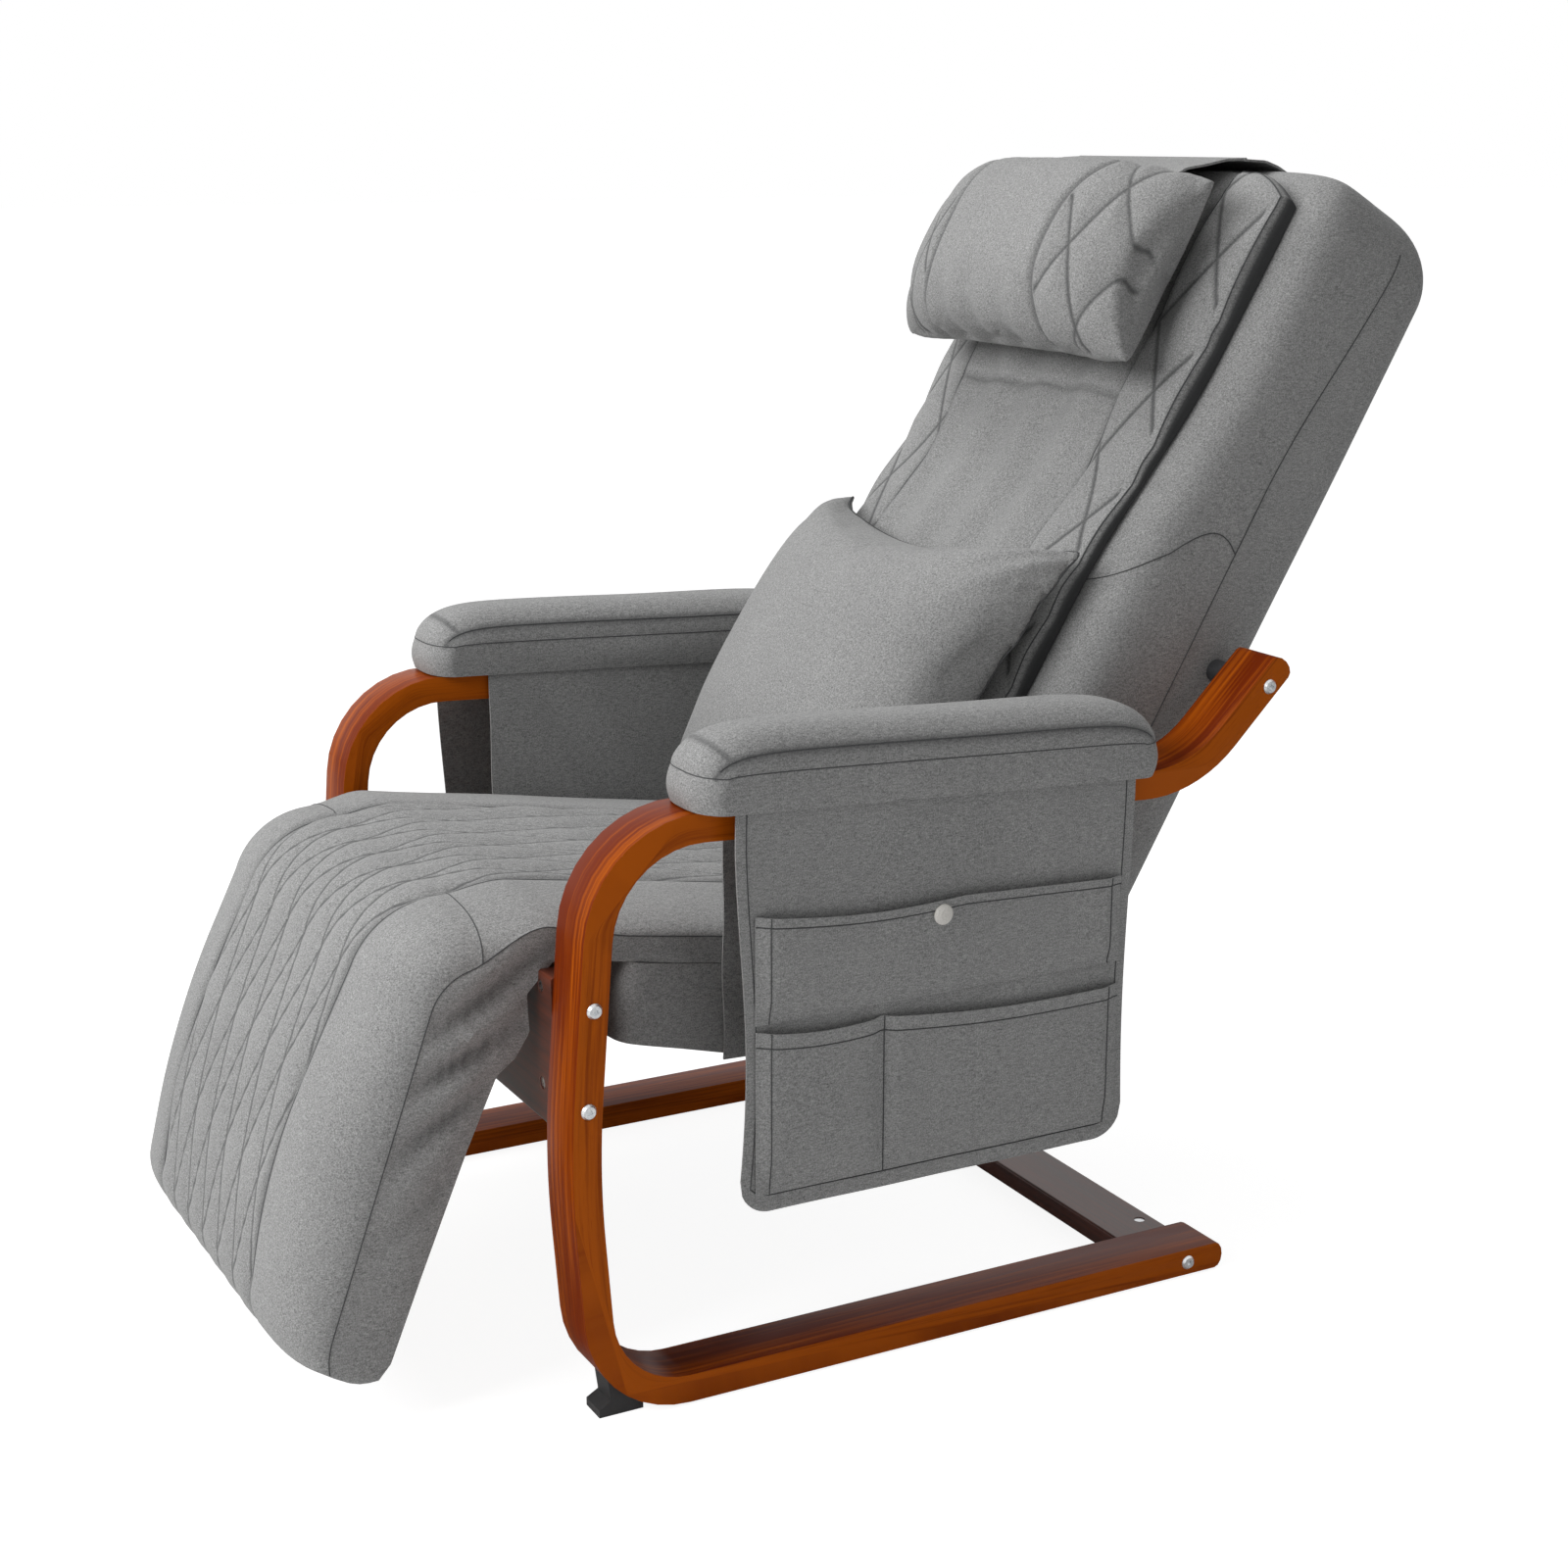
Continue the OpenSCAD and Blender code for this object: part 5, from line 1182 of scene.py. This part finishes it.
class CHAIR_OT_lumbar_cushion(bpy.types.Operator):
    """Loose square cushion with pointed corners and a sewn edge"""
    bl_idname = "chair.lumbar_cushion"
    bl_label = "Lumbar cushion"

    def surface(self, u, v, s):
        """The cushion's front where s is 1, or its rear where s is -1."""
        fat = np.maximum(0, (1 - np.abs(u)**2.6)*(1 - np.abs(v)**2.6))**0.6
        t = CUSHION_T*fat*(0.84 if s > 0 else 0.16) + 3
        return np.stack([CUSHION_X + u*CUSHION_W*(1 - 0.07*(1 - v*v)),
            -(CUSHION_B + 14*(1 - v)/2 - 31*u**8*(1 + v)/2 + s*t),
            CUSHION_MID + v*CUSHION_H*(1 - 0.07*(1 - u*u)) - 24*(1 - u*u)*(1 + v)/2], -1)

    def execute(self, context):
        g = np.sin(np.linspace(-1, 1, 57)*math.pi/2)
        u, v = np.meshgrid(g, g, indexing="ij")
        verts, faces = shell(in_back(self.surface(u, v, 1)), in_back(self.surface(u, v, -1)), 1)
        cushion = make("square_lumbar_cushion", verts, faces, grey_cloth())
        inflate(cushion, 0.006, 4.0, 0.012)
        pivot = joint_place("back_recline")

        def creased(p):
            x, _, a = local(p, pivot, BACK_LEAN)
            total = 0
            for cx in (CUSHION_X - CUSHION_W, CUSHION_X + CUSHION_W):
                for ca in (CUSHION_MID - CUSHION_H, CUSHION_MID + CUSHION_H):
                    far = np.hypot(x - cx, a - ca)
                    turn = np.arctan2(a - ca, x - cx)
                    total = total + np.sin(turn*17)*bump_at(far - 60, 45)
            return (1.3*total + 1.5*ripple(x/60, a/60, 71))/1000
        push(cushion, creased)
        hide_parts("lumbar_cushion")
        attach(cushion, "back")
        e = np.linspace(-1, 1, 60)
        one = np.ones_like(e)
        rim = [(e, -one), (one, e), (-e, one), (-one, -e)]
        loop = np.concatenate([(self.surface(a, b, 1)[:-1] + self.surface(a, b, -1)[:-1])/2
            for a, b in rim])
        near = [cushion.closest_point_on_mesh(Vector(p))[1:3] for p in in_back(loop)]
        sewn = np.array([p + n*0.0003 for p, n in near])
        sewn = (np.roll(sewn, 1, 0) + sewn + np.roll(sewn, -1, 0))/3
        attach(seams("cushion_seams", [(sewn, True)], 0.0012), "back")
        return {"FINISHED"}


# ------------------------------------------------------------------ arms and side panels

ARM_RUN, ARM_FALL = ARM_REAR[0] - ARM_FRONT[0], ARM_FRONT[1] - ARM_REAR[1]
ARM_SLOPE = math.degrees(math.atan2(ARM_FALL, ARM_RUN))
PAD_MID, PAD_L, PAD_W, PAD_H = 502/2 - 204, 502.0, 94.0, 67.0
PAD_X, PAD_Z, PAD_SEAM = 292 + 82/2, 14.0 + 9, 0.9


def arm_z(y):
    """Height of the arm strip's middle line at depth y."""
    return ARM_REAR[1] + (ARM_REAR[0] - y)*ARM_FALL/ARM_RUN


class CHAIR_OT_arm_pads(bpy.types.Operator):
    """Rounded arm pads with a seam along each top edge"""
    bl_idname = "chair.arm_pads"
    bl_label = "Arm pads"

    def surface(self, u, v):
        p, q = plump(u, 3), plump(v, 9)
        x = PAD_X + u*PAD_W/2*(1 + 0.02*np.sin(math.pi*v))
        y = v*PAD_L/2*(0.9 + 0.1*p)
        z = PAD_Z + PAD_H*(0.42*(0.9 + 0.1*q) + 0.58*p*q)
        z = z + 0.8*ripple(y/45, u*2, 81)*p*q
        return np.stack([x, y, z], -1)

    def execute(self, context):
        place = leaning((PAD_MID, arm_z(PAD_MID)), ARM_SLOPE)
        us = np.sin(np.linspace(-1, 1, 49)*math.pi/2)
        vs = np.sin(np.linspace(-1, 1, 121)*math.pi/2)
        u, v = np.meshgrid(us, vs, indexing="ij")
        top = self.surface(u, v)
        low = top.copy()
        low[..., 2] = PAD_Z - 8.4
        # Painted shade along the pad's top seams and across the pad near its front end
        painted_shade = 0.6*np.maximum(bump_at((np.abs(u) - PAD_SEAM)*PAD_W/2, 2.2),
            bump_at((v + 0.93)*PAD_L/2, 3)*(np.abs(u) < PAD_SEAM))
        pad = make("left_padded_arm", *shell(place(top), place(low), 8, 0.004), grey_cloth(),
            marks={"painted_shade": painted_shade.ravel()})
        lines = []
        along = np.linspace(-0.985, 0.985, 90)
        for e in (-PAD_SEAM, PAD_SEAM):
            pts = self.surface(np.full_like(along, e), along)
            lines.append((place(pts + np.array([0, 0, 0.2])), False))
        rim = [(us, -np.ones_like(us)), (np.ones_like(vs), vs), (us[::-1], np.ones_like(us)),
            (-np.ones_like(vs), vs[::-1])]
        loop = np.concatenate([self.surface(a, b)[:-1] for a, b in rim])
        lines.append((place(loop), True))
        trim = seams("left_arm_seams", lines, 0.0006)
        for piece, twin in ((pad, "right_padded_arm"), (trim, "right_arm_seams")):
            other = mirrored(piece, twin)
            for o in (piece, other):
                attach(o, "frame")
            if piece is pad:
                for o, n in ((pad, "left_arm_pad"), (other, "right_arm_pad")):
                    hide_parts(n)
        return {"FINISHED"}


PANEL_X, PANEL_FRONT, PANEL_W, PANEL_LOW, PANEL_TOP = 374.0, -163.2, 425.0, 189.0, 540
MOUTH_HIGH, MOUTH_LOW, PULL_Y = 478.0, 368.0, 60
POCKET_Y0, POCKET_Y1, POCKET_W = PANEL_FRONT + 12, PANEL_FRONT + PANEL_W - 12, PANEL_W - 24
LINING_X, LINING_Y, LINING_HALF, LINING_LOW = 290.6, 43.3, 182, 310


def sheet_edges(z):
    """Front and rear edge of the outer panel at height z, with the sway of hung cloth."""
    t = (z - PANEL_LOW)/(PANEL_TOP - PANEL_LOW)
    sway = 12*np.sin(math.pi*np.clip(t, 0, 1)*1.35)*0.6
    return PANEL_FRONT + sway - 6*(1 - t), PANEL_FRONT + PANEL_W - 0.5*sway


def panel_relief(y, z):
    """Waves of the hung panel, and a slanting pull above its pockets, in millimetres."""
    hang = np.clip((PANEL_TOP - z)/350, 0, 1)
    pull = bump_at(y - PULL_Y - (z - MOUTH_HIGH)*0.35, 26)*smooth((z - 470)/50)
    return 0.9*hang*ripple(y/46, z/150, 91) + 0.6*ripple(y/30, z/60, 92) + 1.3*pull


class CHAIR_OT_side_panels(bpy.types.Operator):
    """Outer panels with their hems, and the loose inner panels beside the seat"""
    bl_idname = "chair.side_panels"
    bl_label = "Side panels"

    def execute(self, context):
        m, n, inset = 86, 74, 3
        t, h = np.meshgrid(np.linspace(0, 1, m), np.linspace(0, 1, n), indexing="ij")
        top = arm_z(PANEL_FRONT + PANEL_W*t) + PAD_Z - 1.5
        t = smooth(t)*0.35 + t*0.65
        inward = np.clip(1 - np.minimum(t, 1 - t)*PANEL_W/34, 0, 1)
        foot = PANEL_LOW + 34*(1 - np.sqrt(1 - inward**2))
        z = foot + (top - foot)*h
        f, r = sheet_edges(z)
        y = f + (r - f)*t
        x = PANEL_X + 1.4 + panel_relief(y, z)*smooth((1 - h)/0.08)
        outer = in_room(np.stack([x, y, z], -1))
        panel = make("left_pocket_panel", outer, grid(*outer.shape[:2]), grey_cloth())
        thicken(panel, 0.002, 0.0)
        hem = [outer[inset, j] for j in range(n - 1, inset, -1)] \
            + [outer[i, inset] for i in range(inset, m - inset)] \
            + [outer[-1 - inset, j] for j in range(inset, n - 1)]
        trim = seams("left_panel_seams", [(np.array(hem) + np.array([0.0012, 0, 0]), False)],
            0.0006)

        u, h = np.meshgrid(np.linspace(-1, 1, 90), np.linspace(0, 1, 60), indexing="ij")
        y = LINING_Y + u*LINING_HALF
        top = arm_z(y) + PAD_Z - 1.5
        z = LINING_LOW + (top - LINING_LOW)*h
        fan = np.sin((y*0.62 + z*0.8)/15 + 1.6*np.sin(y/70))
        x = LINING_X - (1 - h)**0.7*2.6*(1 + fan*0.9 + 0.4*ripple(y/25, z/50, 95))
        inner = in_room(np.stack([x, y, z], -1))
        lining = make("left_side_lining", inner, grid(*inner.shape[:2]), grey_cloth())
        thicken(lining, 0.002, 0.0)
        for piece, twin, node, width in (
                (panel, "right_pocket_panel", "_outer_panel", PANEL_W/1000),
                (lining, "right_side_lining", "_inner_panel", 2*LINING_HALF/1000),
                (trim, "right_panel_seams", "", 0)):
            other = mirrored(piece, twin)
            for o, side in ((piece, "left"), (other, "right")):
                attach(o, "frame")
                if node:
                    flat_size(o, width)
                    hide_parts(side + node)
        return {"FINISHED"}


class CHAIR_OT_pockets(bpy.types.Operator):
    """Two rows of patch pockets with sagging mouths, the lower one sewn down in two"""
    bl_idname = "chair.pockets"
    bl_label = "Pockets"

    def execute(self, context):
        lines = []
        for node, low, mouth, sags in (
                ("upper", MOUTH_LOW + 6, MOUTH_HIGH, ((0.0, 0.55, 7),)),
                ("lower", PANEL_LOW + 18, MOUTH_LOW, ((0.0, 0.33, 5), (0.33, 0.67, 6)))):
            t, h = np.meshgrid(np.linspace(0, 1, 90), np.linspace(0, 1, 34), indexing="ij")
            y = POCKET_Y0 + (POCKET_Y1 - POCKET_Y0)*t
            sag = sum(deep*np.sin(math.pi*np.clip((t - start)/span, 0, 1))
                for start, span, deep in sags)
            z = low + (mouth - 17*t - sag - low)*h
            edge = np.minimum(1, np.minimum(t, 1 - t)/0.05)
            room = smooth(edge)*smooth(h/0.25)
            if node == "lower":
                room = room*(1 - bump_at((t - 0.333)*POCKET_W, 9))
            x = PANEL_X + 4.0 + 5.6*room + 0.7*ripple(y/30, z/50, 97)*room
            x = x + 0.8*(h > 0.93)
            pts = in_room(np.stack([x, y, z], -1))
            pocket = make(f"left_{node}_pocket_cloth", pts, grid(*pts.shape[:2]), grey_cloth())
            thicken(pocket, 0.0016, 0.0)
            other = mirrored(pocket, f"right_{node}_pocket_cloth")
            for o, side in ((pocket, "left"), (other, "right")):
                flat_size(o, POCKET_W/1000)
                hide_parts(f"{side}_{node}_pocket")
                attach(o, "frame")
            lift = np.array([0.0011, 0, 0])
            lines.append((pts[:, -4] + lift, False))
            for column in (3, -4) if node == "upper" else (3, -4, 30):
                lines.append((pts[column] + lift, False))
        trim = seams("left_pocket_seams", lines, 0.0006)
        for o in (trim, mirrored(trim, "right_pocket_seams")):
            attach(o, "frame")
        return {"FINISHED"}


# ------------------------------------------------------------------ stage

class CHAIR_OT_stage(bpy.types.Operator):
    """Pale floor, white surroundings, soft lights and the camera"""
    bl_idname = "chair.stage"
    bl_label = "Stage"

    def execute(self, context):
        scene, s = context.scene, context.scene.chair_stage
        bpy.ops.object.select_all(action="DESELECT")
        bpy.ops.mesh.primitive_plane_add(size=80, location=(0, 0, -0.0005))
        floor = context.active_object
        floor.name = "floor"
        m = bpy.data.materials.new("pale_floor")
        m.use_nodes = True
        t = m.node_tree
        p, out = t.nodes["Principled BSDF"], t.nodes["Material Output"]
        p.inputs["Base Color"].default_value = (0.86, 0.86, 0.86, 1)
        p.inputs["Roughness"].default_value = 0.8
        glow = add(t, "ShaderNodeEmission", {"Color": (1, 1, 1, 1), "Strength": 1.46})
        path, mix = add(t, "ShaderNodeLightPath"), add(t, "ShaderNodeMixShader")
        t.links.new(maths(t, "MULTIPLY", path.outputs["Is Camera Ray"], 0.62), mix.inputs[0])
        t.links.new(p.outputs[0], mix.inputs[1])
        t.links.new(glow.outputs[0], mix.inputs[2])
        t.links.new(mix.outputs[0], out.inputs["Surface"])
        floor.data.materials.append(m)

        world = scene.world or bpy.data.worlds.new("studio")
        scene.world = world
        world.use_nodes = True
        t = world.node_tree
        t.nodes.clear()
        path = add(t, "ShaderNodeLightPath")
        seen = path.outputs["Is Camera Ray"]
        for ray in ("Is Glossy Ray", "Is Transmission Ray"):
            seen = maths(t, "MAXIMUM", seen, path.outputs[ray])
        level = remap(t, seen, {"To Min": s.ambient, "To Max": 1.0})
        back = add(t, "ShaderNodeBackground", {"Color": (1, 1, 1, 1)})
        t.links.new(level, back.inputs["Strength"])
        out = add(t, "ShaderNodeOutputWorld")
        t.links.new(back.outputs[0], out.inputs["Surface"])

        aim = Vector((0, 0, 0.5))
        for name, place, size, power in (
                ("key", (0.2, -3.4, 2.6), 2.0, s.key),
                ("fill", (3.4, 0.8, 1.5), 2.4, s.fill),
                ("top", (-1.0, -0.4, 3.6), 2.4, s.key*0.5)):
            light = bpy.data.lights.new(name, "AREA")
            light.size, light.energy = size, power
            lamp = bpy.data.objects.new(name, light)
            lamp.location = place
            lamp.rotation_euler = (aim - Vector(place)).to_track_quat("-Z", "Y").to_euler()
            scene.collection.objects.link(lamp)

        lens = bpy.data.cameras.new("camera")
        lens.lens, lens.sensor_width = 57.57, 36
        camera = bpy.data.objects.new("camera", lens)
        camera.location = (2.2863, -1.2157, 1.1597)
        camera.rotation_euler = (math.radians(75.46), 0, math.radians(61.83))
        scene.collection.objects.link(camera)
        scene.camera = camera
        scene.view_settings.view_transform = "Standard"
        return {"FINISHED"}


# ------------------------------------------------------------------ panel and run

PIECES = ("hard_parts", "side_frames", "seat_cover", "seat_skirt", "back_cover", "overlay",
    "head_pillow", "lumbar_cushion", "arm_pads", "side_panels", "pockets", "stage")


class CHAIR_PT_sidebar(bpy.types.Panel):
    """Sizes, colours and pieces of the chair"""
    bl_label = "Chair"
    bl_idname = "CHAIR_PT_sidebar"
    bl_space_type = "VIEW_3D"
    bl_region_type = "UI"
    bl_category = "Chair"

    def draw(self, context):
        for group in ("chair_cloth", "chair_quilt", "chair_wood", "chair_stage"):
            settings = getattr(context.scene, group)
            for name in settings.__annotations__:
                self.layout.prop(settings, name)
        for piece in PIECES:
            self.layout.operator("chair." + piece)


SETTINGS = {"chair_cloth": ClothSettings, "chair_quilt": QuiltSettings,
    "chair_wood": WoodSettings, "chair_stage": StageSettings}
OPERATORS = (CHAIR_OT_hard_parts, CHAIR_OT_side_frames, CHAIR_OT_seat_cover,
    CHAIR_OT_seat_skirt, CHAIR_OT_back_cover, CHAIR_OT_overlay, CHAIR_OT_head_pillow,
    CHAIR_OT_lumbar_cushion, CHAIR_OT_arm_pads, CHAIR_OT_side_panels, CHAIR_OT_pockets,
    CHAIR_OT_stage)


def register():
    for c in (*SETTINGS.values(), *OPERATORS, CHAIR_PT_sidebar):
        bpy.utils.register_class(c)
    for name, kind in SETTINGS.items():
        setattr(bpy.types.Scene, name, PointerProperty(type=kind))


def unregister():
    for name in SETTINGS:
        delattr(bpy.types.Scene, name)
    for c in reversed((*SETTINGS.values(), *OPERATORS, CHAIR_PT_sidebar)):
        bpy.utils.unregister_class(c)


def main():
    register()
    for piece in PIECES:
        getattr(bpy.ops.chair, piece)()


if __name__ == "__main__":
    main()
